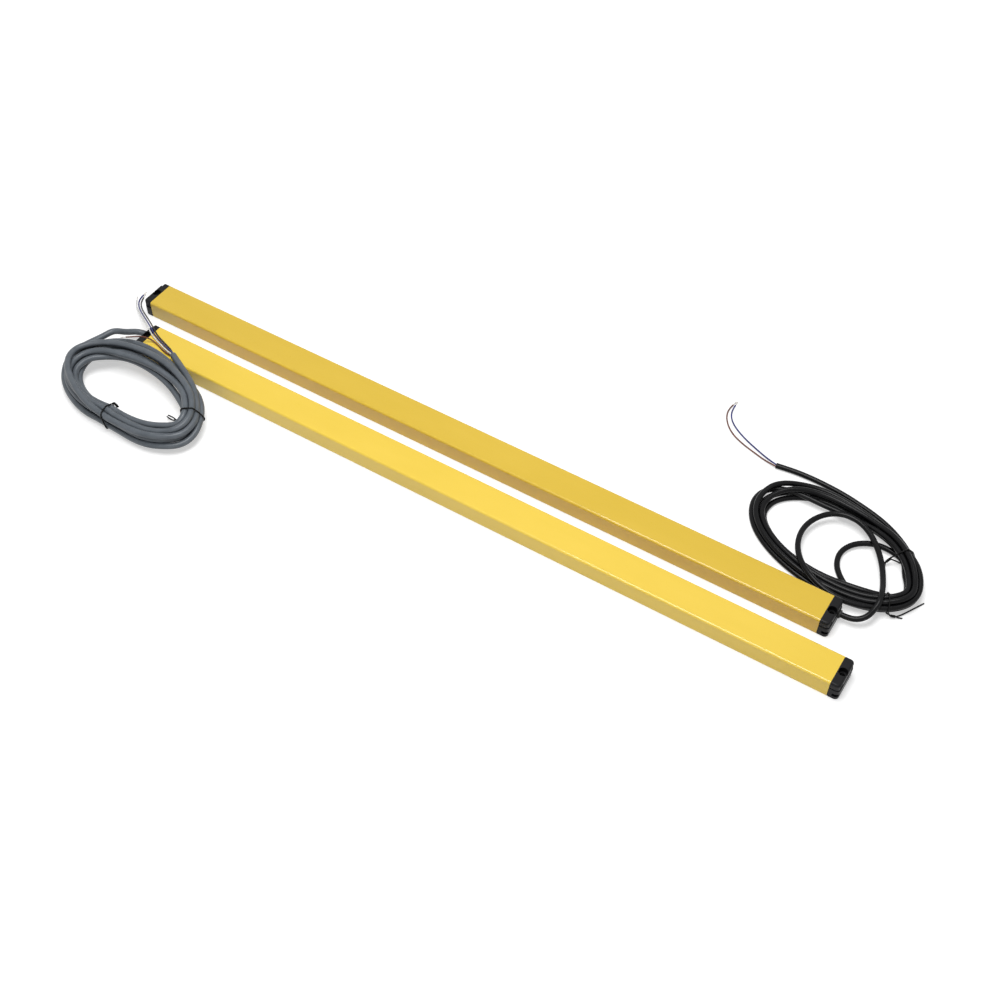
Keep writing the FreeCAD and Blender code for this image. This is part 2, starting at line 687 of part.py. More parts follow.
def rounded_path(points):
    """Edges of a path whose corners are arcs as large as their shorter run allows."""
    edges, turns = [], []
    here = points[0]
    for before, corner, after in zip(points, points[1:], points[2:]):
        into = (corner - before).normalize()
        out = (after - corner).normalize()
        half_turn = into.getAngle(out) / 2
        reach = 0.45 * min(corner.distanceToPoint(before), corner.distanceToPoint(after))
        turns.append(reach / math.tan(half_turn))
        start, end = corner - into * reach, corner + out * reach
        inward = (out - into).normalize()
        middle = corner + inward * turns[-1] * (1 / math.cos(half_turn) - 1)
        edges.append(Part.LineSegment(here, start).toShape())
        edges.append(Part.Arc(start, middle, end).toShape())
        here = end
    edges.append(Part.LineSegment(here, points[-1]).toShape())
    return edges, turns


def inner_wires(bar):
    """Short wires from the connector down to the gland, one for each core."""
    way = bar.cable_way
    end = bar.x_middle + way * size("bar_length") / 2
    board_top = size("bar_height") - size("board_drop") + size("board_depth")
    plug = Vector(end - way * size("board_retreat"), bar.y_middle, board_top + size("plug_depth") / 2)
    gland = Vector(end + way * size("gasket_depth"), bar.cable_y, size("cable_level"))
    count = len(bar.colours)
    wires = []
    for number in range(count):
        place_in_row = number - (count - 1) / 2
        start = plug + Vector(0, place_in_row * size("wire_spacing"), 0)
        finish = gland + Vector(0, place_in_row * size("wire_bunch"), 0)
        route = [
            start,
            start + Vector(way * size("wire_start"), 0, 0),
            finish - Vector(way * size("wire_finish"), 0, 0),
            finish,
        ]
        wires.append(tube_along(route, size("wire_width"))[0])
    return Part.Compound(wires)


# The free cables, each wound into a coil by hand and held by two twist ties
class Coil:
    """The oval outline of a coil seen from above, its height and how it leans."""

    def __init__(self, bar, outer, inner, rise, rest_line=0, slope=0):
        self.bar = bar
        self.outer = outer
        self.inner = inner
        self.rise = rise
        self.rest_line = rest_line
        self.slope = slope

    def lean(self, shape):
        """Tip a shape up about the line on the floor that the coil leans from."""
        if self.slope:
            shape.rotate(Vector(0, self.rest_line, 0), Vector(1, 0, 0), self.slope)
        return shape


# Each oval: middle on the floor, half length, half width, direction of its long axis
EMITTER_COIL = Coil(EMITTER, (Vector(310, 96.5, 0), 83, 51.7, 165.7),
                    (Vector(311.3, 95.7, 0), 64.2, 28.1, 171.6), "emitter_coil_rise")
RECEIVER_COIL = Coil(RECEIVER, (Vector(-304.5, -87, 0), 83, 47.5, 170),
                     (Vector(-305, -88, 0), 57.5, 27, 176), "receiver_coil_rise",
                     rest_line=-137, slope=10)


def coil_foot():
    """The coil lies on its ties, so its underside is a tie's thickness above the floor."""
    return size("tie_width") + size("tie_gap")


def make_coil(coil):
    """One closed ring of the coil's outer shape, with rounded edges."""
    blocks = []
    for middle, half_length, half_width, direction in (coil.outer, coil.inner):
        oval = Part.Ellipse(Vector(), half_length, half_width).toShape()
        oval.rotate(Vector(), Vector(0, 0, 1), direction)
        oval.translate(middle + Vector(0, 0, coil_foot()))
        blocks.append(Part.Face(Part.Wire([oval])).extrude(Vector(0, 0, size(coil.rise))))
    ring = blocks[0].cut(blocks[1])
    rims = [edge for edge in ring.Edges if edge.BoundBox.ZLength < 0.01]
    ring = ring.makeFillet(size(coil.bar.cable) / 2, rims)
    label = coil.bar.label("cable_coil")
    keep(make_part(label, coil.lean(ring)), label)


def cable_exit(bar):
    """Where the cable leaves its gland."""
    way = bar.cable_way
    reach = size("gasket_depth") + size("cap_reach") + size("gland_reach")
    return Vector(bar.x_middle + way * (size("bar_length") / 2 + reach), bar.cable_y,
                  size("cable_level"))


def make_cord(label, points, diameter):
    """A stretch of cable or wire that isn't wound up."""
    tube, length, tightest = tube_along([Vector(*point) for point in points], diameter)
    keep(make_part(label, tube), label)
    print(f"{label}: {length:.0f} mm long, tightest radius {tightest:.1f} mm")


# Where each cable runs between its gland and its coil, after its first straight stretch
EMITTER_LEAD = [
    (360.6, 34.9, 8.4), (365.8, 40.1, 10.8), (368.6, 47.1, 13.2), (368.8, 55.5, 14.8),
    (366.5, 66, 15.2), (362.5, 80, 14.7), (355.5, 96.5, 14.5), (345, 112.5, 14.6),
    (331, 126, 14.7), (315, 132, 14.8), (299, 128.5, 14.7), (287.5, 116, 14.3),
    (282.5, 99.5, 13.9), (284.5, 82, 14.2), (292.5, 66.5, 14.7), (305, 55, 14.8),
    (320.5, 48, 14.2), (337, 46, 11.8), (352, 49, 9),
]
RECEIVER_LEAD = [
    (-366, -21.5, 8.8), (-373, -29.5, 11.4), (-377, -40, 14.2), (-378.5, -52.5, 16.6),
    (-378.5, -66, 17.6),
]
# A smaller loop of the emitter's cable that fell inside its coil
EMITTER_LOOP = [
    (364, 117, 4), (349, 119, 2.7), (334, 117, 2.7), (321.5, 109.5, 2.7), (315.5, 96.5, 2.7),
    (318.5, 82.5, 2.7), (328, 71.5, 3), (340, 64, 4),
]
# The free ends, from inside the coil to where the jacket is cut
EMITTER_TAIL = [
    (384, 88, 5), (382.5, 104, 4.8), (375, 119.5, 4.4), (364, 131, 3.4), (349, 139.8, 2.6),
    (332, 147.2, 2.6), (314, 152, 2.6), (296, 155.7, 2.6), (277.5, 157.6, 2.6), (260, 158.2, 2.6),
    (245, 157.3, 2.6), (231.6, 155.3, 2.6),
]
RECEIVER_TAIL = [
    (-228, -88, 18.5), (-236.5, -74, 21), (-250, -61, 23.2), (-267, -51, 23.8), (-283, -43, 22.6),
    (-297.5, -35.6, 21.4),
]
# The cores, from the cut jacket to where their insulation ends
CORES = {
    "emitter_core_blue": [
        (231.5, 156.1, 2.9), (223.5, 158.8, 1.6), (207.5, 165.2, 1), (194, 171, 1), (183, 177.2, 1),
        (175, 183.6, 1), (170, 191, 1), (168, 199, 1), (168, 204, 1),
    ],
    "emitter_core_brown": [
        (231.7, 154.5, 2.4), (222.5, 156, 1.4), (208.5, 160.2, 1), (194.5, 164.3, 1),
        (182.5, 169.8, 1), (173.5, 177.5, 1), (167.2, 187, 1), (164.8, 196.5, 1), (166, 203.5, 1),
    ],
    "receiver_core_blue": [
        (-297.2, -34.9, 22.2), (-305, -31, 20.4), (-314, -28.4, 19), (-324, -24.4, 19),
        (-334, -18.8, 19.2), (-344.6, -12.4, 19.8), (-354.8, -6.8, 15.4), (-364.2, -1.4, 9.8),
        (-373.2, 3.8, 4.8), (-381.6, 8.8, 1.8), (-389.4, 14, 1), (-394.8, 20.4, 1),
        (-397, 27.4, 1),
    ],
    "receiver_core_black": [
        (-297.2, -34.9, 20.6), (-306, -32.8, 19.1), (-315, -30.6, 19), (-325, -26.6, 19),
        (-334.8, -21.2, 19.2), (-345.2, -15, 19.8), (-355.6, -9.4, 15.4), (-365.6, -4, 9.8),
        (-375, 1.4, 4.8), (-383.8, 6.4, 1.8), (-392.4, 11.4, 1), (-398.6, 18, 1),
        (-401, 25.4, 1),
    ],
    "receiver_core_white": [
        (-297.9, -36.3, 22.2), (-306.6, -34.8, 20.2), (-316, -33, 19), (-326, -29.2, 19),
        (-336, -24, 19.2), (-346.2, -18.2, 19.8), (-356.6, -13, 15.6), (-366.8, -8.2, 10),
        (-376.6, -4, 5), (-386, 0, 1.9), (-395, 3.8, 1),
    ],
    "receiver_core_brown": [
        (-297.9, -36.3, 20.6), (-307.4, -36.4, 19.4), (-317, -35.4, 23.4), (-327, -33.4, 29),
        (-337.4, -33.8, 32.2), (-347.8, -37.6, 33), (-356, -43.8, 32.2), (-361.8, -51.4, 30.8),
    ],
}


def make_cores():
    """Each core with its bare tinned end, the end in line with the core's last stretch."""
    for label, route in CORES.items():
        points = [Vector(*point) for point in route]
        core, length, tightest = tube_along(points, size("core_width"))
        heading = (points[-1] - points[-2]).normalize()
        strand = Part.makeCylinder(size("strand_width") / 2, size("strand_length"), points[-1], heading)
        keep(make_part(label, core.fuse(strand)), label)
        print(f"{label}: {length:.0f} mm long, tightest radius {tightest:.1f} mm")


# The twist ties: middle on the floor, direction across the strands, width, where its ends start
TIES = (
    ("emitter_cable_tie_1", EMITTER_COIL, Vector(369.5, 116, 0), 40.6, 29,
     [(0, -14.5, 5), (-1, -16, 4), (-4, -20, 2), (-11, -24, 1.4)]),
    ("emitter_cable_tie_2", EMITTER_COIL, Vector(373.2, 63.6, 0), 114, 30,
     [(0, -15, 3), (8, -18.5, 1.8), (18, -19.5, 1), (29, -23, 1)]),
    ("receiver_cable_tie_1", RECEIVER_COIL, Vector(-306, -124.9, 0), 98, 21.2,
     [(0, 10.6, 11), (2.5, 13, 11.5), (6, 14, 10), (9.5, 13.5, 7)]),
    ("receiver_cable_tie_2", RECEIVER_COIL, Vector(-237.5, -86, 0), 32, 25.2,
     [(0, -12.6, 3), (2, -14.6, 3.2), (0.5, -17.4, 3.6), (-3, -20, 4)]),
)


def make_tie(label, coil, middle, direction, width, loose_end):
    """A wire bent round the coil's section, with one of its two twisted ends."""
    wire = size("tie_width")
    gap = size("tie_gap")
    inner_height = size(coil.rise) + 2 * gap
    opening = Part.makeBox(wire, width, inner_height, Vector(-wire / 2, -width / 2, wire))
    outside = Part.makeBox(wire, width + 2 * wire, inner_height + 2 * wire,
                           Vector(-wire / 2, -width / 2 - wire, 0))
    outside = outside.makeFillet(2 * wire, along_x(outside))
    opening = opening.makeFillet(wire, along_x(opening))
    end = tube_along([Vector(*point) for point in loose_end], size("tie_end_width"))[0]
    tie = outside.cut(opening).fuse(end).removeSplitter()
    tie.rotate(Vector(), Vector(0, 0, 1), direction - 90)
    tie.translate(middle)
    keep(make_part(label, coil.lean(tie)), label)


def along_x(block):
    """The edges of a block that run along X."""
    return [edge for edge in block.Edges if near(edge.BoundBox.XLength, edge.Length)]


def make_cables():
    """Both cables with their coils, cores and ties."""
    for coil, first_run, lead, tail in (
        (EMITTER_COIL, 7, EMITTER_LEAD, EMITTER_TAIL),
        (RECEIVER_COIL, 10, RECEIVER_LEAD, RECEIVER_TAIL),
    ):
        bar = coil.bar
        start = cable_exit(bar)
        first = start + Vector(bar.cable_way * first_run, 0, 0)
        make_cord(bar.label("cable_lead"), [start, first] + lead, size(bar.cable))
        make_coil(coil)
        make_cord(bar.label("cable_tail"), tail, size(bar.cable))
    make_cord("emitter_cable_loop", EMITTER_LOOP, size("emitter_cable"))
    make_cores()
    for tie in TIES:
        make_tie(*tie)


for bar in BARS:
    make_housing(bar)
    make_window(bar)
    for way in (-1, 1):
        kind = "cable" if way == bar.cable_way else "plain"
        make_gasket(bar, way, kind)
        make_cap(bar, way, kind)
    make_screws(bar)
    make_gland(bar)
    make_board(bar)
    make_optics(bar)
    make_lamps(bar)
    make_chips(bar)
    make_wiring(bar)
make_cables()

doc.recompute()

# Check every object and every sub-part before anything is written
for item in doc.Objects:
    if "Invalid" in item.State or "Error" in item.State:
        raise RuntimeError(f"{item.Label} failed: {item.State}")
for item in nodes:
    if item.Shape.isNull() or not item.Shape.isValid() or not item.Shape.Solids:
        raise RuntimeError(f"{item.Label} has no valid solid")

for item in nodes:
    item.Shape.exportStep(os.path.join("parts", item.Label + ".step"))
    print(f"{item.Label}: {len(item.Shape.Solids)} solid, {item.Shape.Volume:.1f} mm3")
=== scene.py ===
# %% [markdown]
# # A safety light curtain: two bars, two coiled cables
# This lesson dresses a finished model of a safety light curtain. The hard pieces, such as the
# aluminium profiles and their moulded end caps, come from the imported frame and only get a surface.
# The cables are made here, because a cable is a soft thing: it is a fixed length of something
# that bends, and it lies where its own weight and the hands that wound it have left it.

# %% Load the frame
import json
import math

import bmesh
import bpy
import numpy as np
from mathutils import Matrix, Vector


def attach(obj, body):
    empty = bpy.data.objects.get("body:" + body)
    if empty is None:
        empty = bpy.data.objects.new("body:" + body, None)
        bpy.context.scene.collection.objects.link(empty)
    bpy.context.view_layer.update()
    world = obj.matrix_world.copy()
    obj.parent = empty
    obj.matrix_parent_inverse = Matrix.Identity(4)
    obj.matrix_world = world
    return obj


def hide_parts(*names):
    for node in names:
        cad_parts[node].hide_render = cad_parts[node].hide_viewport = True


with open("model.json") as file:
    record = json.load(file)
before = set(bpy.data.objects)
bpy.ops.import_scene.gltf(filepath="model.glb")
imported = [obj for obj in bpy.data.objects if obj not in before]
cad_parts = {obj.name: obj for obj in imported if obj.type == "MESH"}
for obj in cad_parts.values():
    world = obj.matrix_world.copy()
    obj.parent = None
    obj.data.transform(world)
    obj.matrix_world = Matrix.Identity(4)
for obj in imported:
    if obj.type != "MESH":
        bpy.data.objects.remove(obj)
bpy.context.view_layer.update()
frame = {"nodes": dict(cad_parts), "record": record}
nodes = frame["nodes"]
MM = 0.001


def metres(point):
    """A point given in millimetres, in metres."""
    return Vector(point) * MM


def add_object(name, data):
    """Put a new object with this mesh or curve into the scene."""
    thing = bpy.data.objects.new(name, data)
    bpy.context.scene.collection.objects.link(thing)
    return thing


# %% [markdown]
# ## The camera
# The camera comes first, because every later choice is judged through it. It looks down at about
# fifty degrees from the right, so that both bars run across the picture from corner to corner. Its
# place and lens come from the bars' corners, which leave only one answer for a straight lens.

# %% Place the camera
CAMERA_PLACE = (0.4685, -0.6804, 0.9517)
CAMERA_TARGET = (0.04447, -0.00718, 0.0)
CAMERA_LENS = 51.226
SENSOR_WIDTH = 36

camera = add_object("camera", bpy.data.cameras.new("camera"))
camera.location = CAMERA_PLACE
sight = Vector(CAMERA_TARGET) - camera.location
camera.rotation_euler = sight.to_track_quat("-Z", "Y").to_euler()
camera.data.lens = CAMERA_LENS
camera.data.sensor_width = SENSOR_WIDTH
camera.data.clip_start = 0.01
camera.data.clip_end = 20
bpy.context.scene.camera = camera
bpy.context.scene.view_settings.view_transform = "Standard"
print(f"the camera stands {sight.length:.2f} m from the bars")

# %% [markdown]
# ## How a coil of cable is wound
# A hand-wound coil is one long route on a single spline. Seen from above, each turn runs
# somewhere between an inner and an outer oval. Where it runs there is its lane, a share from 0 at
# the inner oval to 1 at the outer one, or a little beyond for a strand that has slipped. The lane
# changes round the turn, so strands cross and fan out as they do when a hand lays them down.

# %% Ovals and lanes
TURN_POINTS = 30
print(f"{TURN_POINTS} points in each turn")


def oval_point(oval, angle):
    """A point of an oval of some middle, half length, half width and direction in degrees."""
    (x, y), half_length, half_width, direction = oval
    along = half_length * math.cos(angle)
    across = half_width * math.sin(angle)
    turn = math.radians(direction)
    return Vector((
        x + along * math.cos(turn) - across * math.sin(turn),
        y + along * math.sin(turn) + across * math.cos(turn),
    ))


def wind(coil, start, end, lanes, level, climb):
    """Points of a coil's turns from one angle to another, in degrees, in millimetres.

    Each row of lanes belongs to one turn, with a share for each of the coil's stations. level is
    the first point's height, and climb is what each turn gains before the route is let down."""
    stations = [360 * turn + angle for turn in range(len(lanes)) for angle in coil["stations"]]
    shares = [share for row in lanes for share in row]
    count = round((end - start) / 360 * TURN_POINTS)
    points = []
    for step in range(count + 1):
        degrees = start + (end - start) * step / count
        inner = oval_point(coil["inner"], math.radians(degrees))
        outer = oval_point(coil["outer"], math.radians(degrees))
        place = inner.lerp(outer, float(np.interp(degrees, stations, shares)))
        points.append((*place, level + climb * (degrees - start) / 360))
    return points


def lean_over(points, coil):
    """Tip points up about the line on the floor that a coil leans from."""
    tilt = Matrix.Rotation(coil["lean"], 3, "X")
    line = Vector((0, coil["rest_line"], 0))
    return [tuple(tilt @ (Vector(point) - line) + line) for point in points]


# %% [markdown]
# ## How a coil comes to lie
# Heights can't be guessed, because each strand lies on the ones below it. A cloth or rope
# simulation could find them, but a plain loop is quicker and gives the same result each time. It
# lets the whole route down in small steps. Wherever two strands come closer than a diameter it
# pushes them apart, and inside a tie it draws them together. The last steps leave gravity out
# and hardly pull at the ties, so that the strands end a diameter apart, or about half a
# millimetre less where they press hardest.

# %% Find places on the smooth line
# A spline of order 3 passes through the middle between two control points. Beside a control
# point it passes at six eighths of that point and one eighth of each neighbour.
NEIGHBOUR_SHARE = 1 / 8


def curve_weights(count):
    """Shares of the control points in places along the spline, one row for each place."""
    rows = []
    for index in range(count):
        at_point = np.zeros(count)
        if 0 < index < count - 1:
            at_point[index - 1] = at_point[index + 1] = NEIGHBOUR_SHARE
        at_point[index] = 1 - at_point.sum()
        rows.append(at_point)
        if index < count - 1:
            between = np.zeros(count)
            between[index] = between[index + 1] = 0.5
            rows.append(between)
    return np.array(rows)


print(f"{TURN_POINTS} control points give {len(curve_weights(TURN_POINTS))} places on the line")


# %% Push strands apart, and draw them together in a tie
PUSH = 0.3
PULL = 0.35
SPARE_GAP = 0.05
TIE_REACH = 32
TIE_MARGIN = 12
TIE_OPENING = 0.006
TINY = 1e-6
print(f"a tie draws the strands together over {2 * TIE_REACH} mm of the coil")


def strand_push(places, apart, thick):
    """How far each place moves so that strands closer than a diameter come apart."""
    tail, run = places[:-1], places[1:] - places[:-1]
    offset = places[:, None] - tail[None]
    share = np.einsum("mnd,nd->mn", offset, run) / np.einsum("nd,nd->n", run, run)
    share = np.clip(share, 0, 1)
    gap = offset - share[:, :, None] * run[None]
    distance = np.sqrt(np.einsum("mnd,mnd->mn", gap, gap)) + TINY
    overlap = np.where(apart, np.maximum(thick + SPARE_GAP - distance, 0), 0)
    push = gap * (overlap / distance * PUSH)[:, :, None]
    move = push.sum(1)
    move[:-1] -= (push * (1 - share)[:, :, None]).sum(0)
    move[1:] -= (push * share[:, :, None]).sum(0)
    return move, np.where(apart, distance, thick).min()


def tie_pull(places, tie, thick):
    """How far each place moves towards the middle of a tie that is drawn tight."""
    turn = math.radians(tie["direction"])
    across = np.array([math.cos(turn), math.sin(turn), 0])
    along = np.array([-math.sin(turn), math.cos(turn), 0])
    upward = np.array([0, 0, 1.0])
    offset = places - np.array(tie["middle"])
    beside, sideways, height = offset @ along, offset @ across, offset[:, 2]
    inside = (np.abs(beside) < TIE_REACH) & (np.abs(sideways) < tie["radius"] + TIE_MARGIN)
    room = tie["radius"] - thick / 2 + TIE_OPENING * beside ** 2
    distance = np.hypot(sideways, height) + TINY
    pull = np.where(inside, np.maximum(distance - room, 0), 0) * PULL / distance
    return -(pull * sideways)[:, None] * across - (pull * height)[:, None] * upward


# %% Let a route down until it lies on itself
SETTLE_STEPS = 260
LAST_STEPS = 80
FALL = 0.12
STIFFNESS = 0.3
HOLD = 0.93
LATE_EASE = 0.15
STRIDE = 1.3
HELD_START = 4
OWN_REACH = 5.5
TIE_WIRE = 1.3
LIFT_REACH = 22
print(f"each route is let down {FALL * (SETTLE_STEPS - LAST_STEPS):.1f} mm at most")


def settle(route, coil):
    """Lower a route of points in millimetres until every strand rests on what is below it."""
    thick = coil["thickness"]
    points = np.array(route, float)
    count = len(points)
    plan, start = points[:, :2].copy(), points.copy()
    free = np.ones((count, 1))
    free[:HELD_START] = 0
    free[-coil["held_points"]:] = 0
    weights = curve_weights(count)
    total = weights.sum(0)[:, None]
    index = np.arange(len(weights))
    apart = np.abs(index[:, None] - index[None, :-1] - 0.5) > OWN_REACH
    lift = np.zeros(count)
    for tie in coil["ties"]:
        distance = np.hypot(*(plan - np.array(tie["middle"][:2])).T)
        lift = np.maximum(lift, TIE_WIRE * np.exp(-(distance / LIFT_REACH) ** 2))
    normal = np.array([0, -math.sin(coil["lean"]), math.cos(coil["lean"])])
    for step in range(SETTLE_STEPS):
        late = step >= SETTLE_STEPS - LAST_STEPS
        ease = LATE_EASE if late else 1
        if not late:
            points[:, 2:] -= FALL * free
        between = (points[:-2, 2] + points[2:, 2]) / 2
        points[1:-1, 2] += ease * STIFFNESS * (between - points[1:-1, 2]) * free[1:-1, 0]
        shift = points[:, :2] - plan
        smooth = shift.copy()
        for _ in range(2):
            smooth[1:-1] = (smooth[:-2] + smooth[1:-1] + smooth[2:]) / 3
        points[:, :2] = plan + (shift + (smooth - shift) * ease) * (1 - (1 - HOLD) * ease)
        places = weights @ points
        move, closest = strand_push(places, apart, thick)
        for tie in coil["ties"]:
            move += tie_pull(places, tie, thick) * ease
        points += weights.T @ move / total * free * STRIDE
        depth = (points - [0, coil["rest_line"], 0]) @ normal - coil["foot"] - lift - thick / 2
        points += np.outer(np.maximum(-depth, 0) * free[:, 0], normal)
        points[:, 2] = np.maximum(points[:, 2], thick / 2)
    held = free[:, 0] == 0
    points[held] = start[held]
    print(f"{coil['name']}: strands at least {closest:.2f} mm apart, of {thick} mm")
    return points


# %% [markdown]
# ## One smooth cord
# A cord is a single curve with a round section. A mesh tube would need its own rings and would
# kink where they are too far apart. A spline of order 3 stays round in every bend, keeps its
# thickness, and its length can be measured, which is what a real cord keeps when it is moved.

# %% Make one smooth cord from a route of points
CURVE_STEPS = 4
print(f"{CURVE_STEPS} rings for each control point")


def cord_curve(name, points, thickness, detail=4):
    """One open NURBS spline through control points in millimetres, with a round section."""
    data = bpy.data.curves.new(name, "CURVE")
    data.dimensions = "3D"
    data.bevel_depth = thickness / 2 * MM
    data.bevel_resolution = detail
    data.resolution_u = CURVE_STEPS
    data.use_fill_caps = thickness > 0
    add_spline(data, points)
    return add_object(name, data)


def add_spline(data, points):
    """Add an open spline through control points in millimetres to a curve."""
    spline = data.splines.new("NURBS")
    spline.points.add(len(points) - 1)
    for knot, point in zip(spline.points, points):
        knot.co = (*metres(point), 1)
    spline.order_u = 3
    spline.use_endpoint_u = True


def line_points(points):
    """Points in metres along the smooth line with these control points."""
    line = cord_curve("measure", points, 0)
    bpy.context.view_layer.update()
    mesh = bpy.data.meshes.new_from_object(line)
    places = [vertex.co.copy() for vertex in mesh.vertices]
    bpy.data.objects.remove(line)
    bpy.data.meshes.remove(mesh)
    return places


def route_length(points):
    """The length in metres of the smooth line with these control points."""
    places = line_points(points)
    return sum((b - a).length for a, b in zip(places, places[1:]))


# %% [markdown]
# ## The emitter's cable
# This cable is black and five millimetres thick. It leaves the right end of the rear bar, makes
# one wide loop on top of the coil, is wound five times, drops a smaller loop inside and ends in
# a free piece along the far side. It shows from end to end, so its length is what is seen.

# %% The emitter's coil
# A coil may lean: its plane then rises from the line y = rest_line. Its lowest strands lie foot
# above that plane, and the last held_points of its route keep the place they are given.
EMITTER_TIE_1 = {"middle": (371, 117, 9.5), "direction": 40.6, "radius": 9.6}
EMITTER_TIE_2 = {"middle": (374, 62.6, 9.5), "direction": 114, "radius": 9.6}
EMITTER_COIL = {
    "name": "emitter_cable",
    "thickness": 5,
    "outer": ((310, 98), 80.5, 47.5, 165.7),
    "inner": ((311.3, 95.7), 66.7, 30.6, 171.6),
    "stations": (0, 60, 120, 180, 240, 300),
    "ties": (EMITTER_TIE_1, EMITTER_TIE_2),
    "lean": 0,
    "rest_line": 0,
    "foot": 0.1,
    "held_points": 8,
}
# One row for each turn: left end, lower left, lower right, right end, upper right, upper left
EMITTER_LANES = [
    (1.0, 1.0, 1.0, 1.0, 0.75, 0.95),
    (0.6, 0.6, 0.6, 0.6, 0.5, 0.6),
    (0.2, 0.3, 0.3, 0.3, 0.25, 0.2),
    (0.9, 0.8, 0.8, 0.8, 0.35, 0.8),
    (0.5, 0.5, 0.6, 0.5, 0.2, 0.6),
    (0.0, 0.1, 0.1, 0.1, 0.0, 0.1),
]
LAST_LANES = [(0.15, 0.15, 0.15, 0.5, 0.5, 0.5)]
print(f"the black coil is {2 * EMITTER_COIL['outer'][1]} mm long")

# %% The emitter's route, from its gland to its cut end
EMITTER_LEAD = [
    (346, 32.5, 7.2), (353, 32.5, 7.2), (360.6, 34.9, 8.4), (365.8, 40.1, 10.8),
    (368.6, 47.1, 13.2), (368.8, 55.5, 14.8), (366.5, 66, 15.2), (362.5, 80, 14.7),
    (355.5, 96.5, 14.5), (345, 112.5, 14.6), (331, 126, 14.7), (315, 132, 14.8),
    (299, 128.5, 14.7), (287.5, 116, 14.3), (282.5, 99.5, 13.9), (284.5, 82, 14.2),
    (292.5, 66.5, 14.7), (305, 55, 14.8), (320.5, 48, 14.2), (337, 46, 11.8), (352, 49, 9),
]
EMITTER_LOOP = [
    (364, 117, 4), (349, 119, 2.7), (334, 117, 2.7), (321.5, 109.5, 2.7), (315.5, 96.5, 2.7),
    (318.5, 82.5, 2.7), (328, 71.5, 3), (340, 64, 4),
]
EMITTER_TAIL = [
    (384, 88, 5), (382.5, 104, 4.8), (375, 119.5, 4.4), (364, 131, 3.4), (349, 139.8, 2.6),
    (332, 147.2, 2.6), (314, 152, 2.6), (296, 155.7, 2.6), (277.5, 157.6, 2.6),
    (260, 158.2, 2.6), (245, 157.3, 2.6), (231.6, 155.3, 2.6),
]
emitter_route = settle(
    EMITTER_LEAD
    + wind(EMITTER_COIL, 150, 213 + 5 * 360, EMITTER_LANES, 11, -1.2)
    + EMITTER_LOOP
    + wind(EMITTER_COIL, 150, 180, LAST_LANES, 4, 0)
    + EMITTER_TAIL,
    EMITTER_COIL,
)
emitter_cable = cord_curve("emitter_cable", emitter_route, EMITTER_COIL["thickness"])
emitter_length = route_length(emitter_route)
print(f"emitter_cable: {emitter_length:.3f} m")

# %% [markdown]
# ## The receiver's cable
# The receiver's cable is grey and six millimetres thick. It has more cores, turns back round the
# bar's end and is wound six and a half times. The coil leans on the bar's edge, so its far side
# is higher than its near side. Its free end lies over the bar.

# %% The receiver's coil
RECEIVER_TIE_1 = {"middle": (-303.5, -118.5, 11.5), "direction": 104, "radius": 9.8, "slant": 0.2}
RECEIVER_TIE_2 = {"middle": (-236.5, -85, 17), "direction": 30, "radius": 10.5}
RECEIVER_COIL = {
    "name": "receiver_cable",
    "thickness": 6,
    "outer": ((-304.5, -87), 80, 44.5, 170),
    "inner": ((-305, -88), 60, 30, 176),
    "stations": (0, 45, 88, 130, 180, 235, 300),
    "ties": (RECEIVER_TIE_1, RECEIVER_TIE_2),
    "lean": math.radians(10),
    "rest_line": -137,
    "foot": 0.3,
    "held_points": 5,
}
# One row for each turn: left end, lower left, bottom, lower right, right end, then the far side
RECEIVER_LANES = [
    (1.0, 1.0, 0.5, 1.0, 1.0, 1.0, 1.2),
    (0.75, 0.7, 0.3, 0.8, 0.75, 0.8, 0.95),
    (0.45, 0.4, 0.0, 0.5, 0.5, 0.5, 0.65),
    (0.1, 0.1, -0.4, 0.2, 0.2, 0.2, 0.35),
    (0.05, 0.4, -0.4, 0.0, 0.2, 0.35, 0.15),
    (0.4, 0.6, 0.1, 0.5, 0.6, 0.75, 0.8),
    (0.75, 0.3, 0.4, 0.8, 0.9, 0.9, 0.9),
]
print(f"the grey coil is {2 * RECEIVER_COIL['outer'][1]} mm long")

# %% The receiver's route, from its gland to its cut end
RECEIVER_LEAD = [
    (-346, -17.5, 7.2), (-353, -18, 7.6), (-358.8, -22, 9.6), (-363, -29.6, 12.6),
    (-366.6, -39, 15.6), (-370.4, -48.8, 18), (-375, -58.2, 19.2), (-379.6, -67, 18.6),
    (-383, -75.5, 17),
]
RECEIVER_TAIL = [
    (-228, -88, 18.5), (-236.5, -74, 21), (-250, -61, 23.2), (-267, -51, 23.8),
    (-283, -43, 22.6), (-297.5, -35.6, 21.4),
]
receiver_turns = wind(RECEIVER_COIL, 16, 184 + 6 * 360, RECEIVER_LANES, 6, 2)
receiver_route = settle(
    RECEIVER_LEAD + lean_over(receiver_turns, RECEIVER_COIL) + RECEIVER_TAIL,
    RECEIVER_COIL,
)
receiver_cable = cord_curve("receiver_cable", receiver_route, RECEIVER_COIL["thickness"])
receiver_length = route_length(receiver_route)
print(f"receiver_cable: {receiver_length:.3f} m")

# %% [markdown]
# ## The twist ties
# Each coil is held by two twist ties, thin steel wires in black plastic. A tie is bent round the
# strands and its two ends are twisted on each other a few times. A round ring would float off the
# strands or cut into them, so the wire follows the strands that really cross its plane: in every
# direction of that plane it touches the strand that lies farthest out. The twist is a double
# helix, and what is left over sticks out as the photograph shows it.

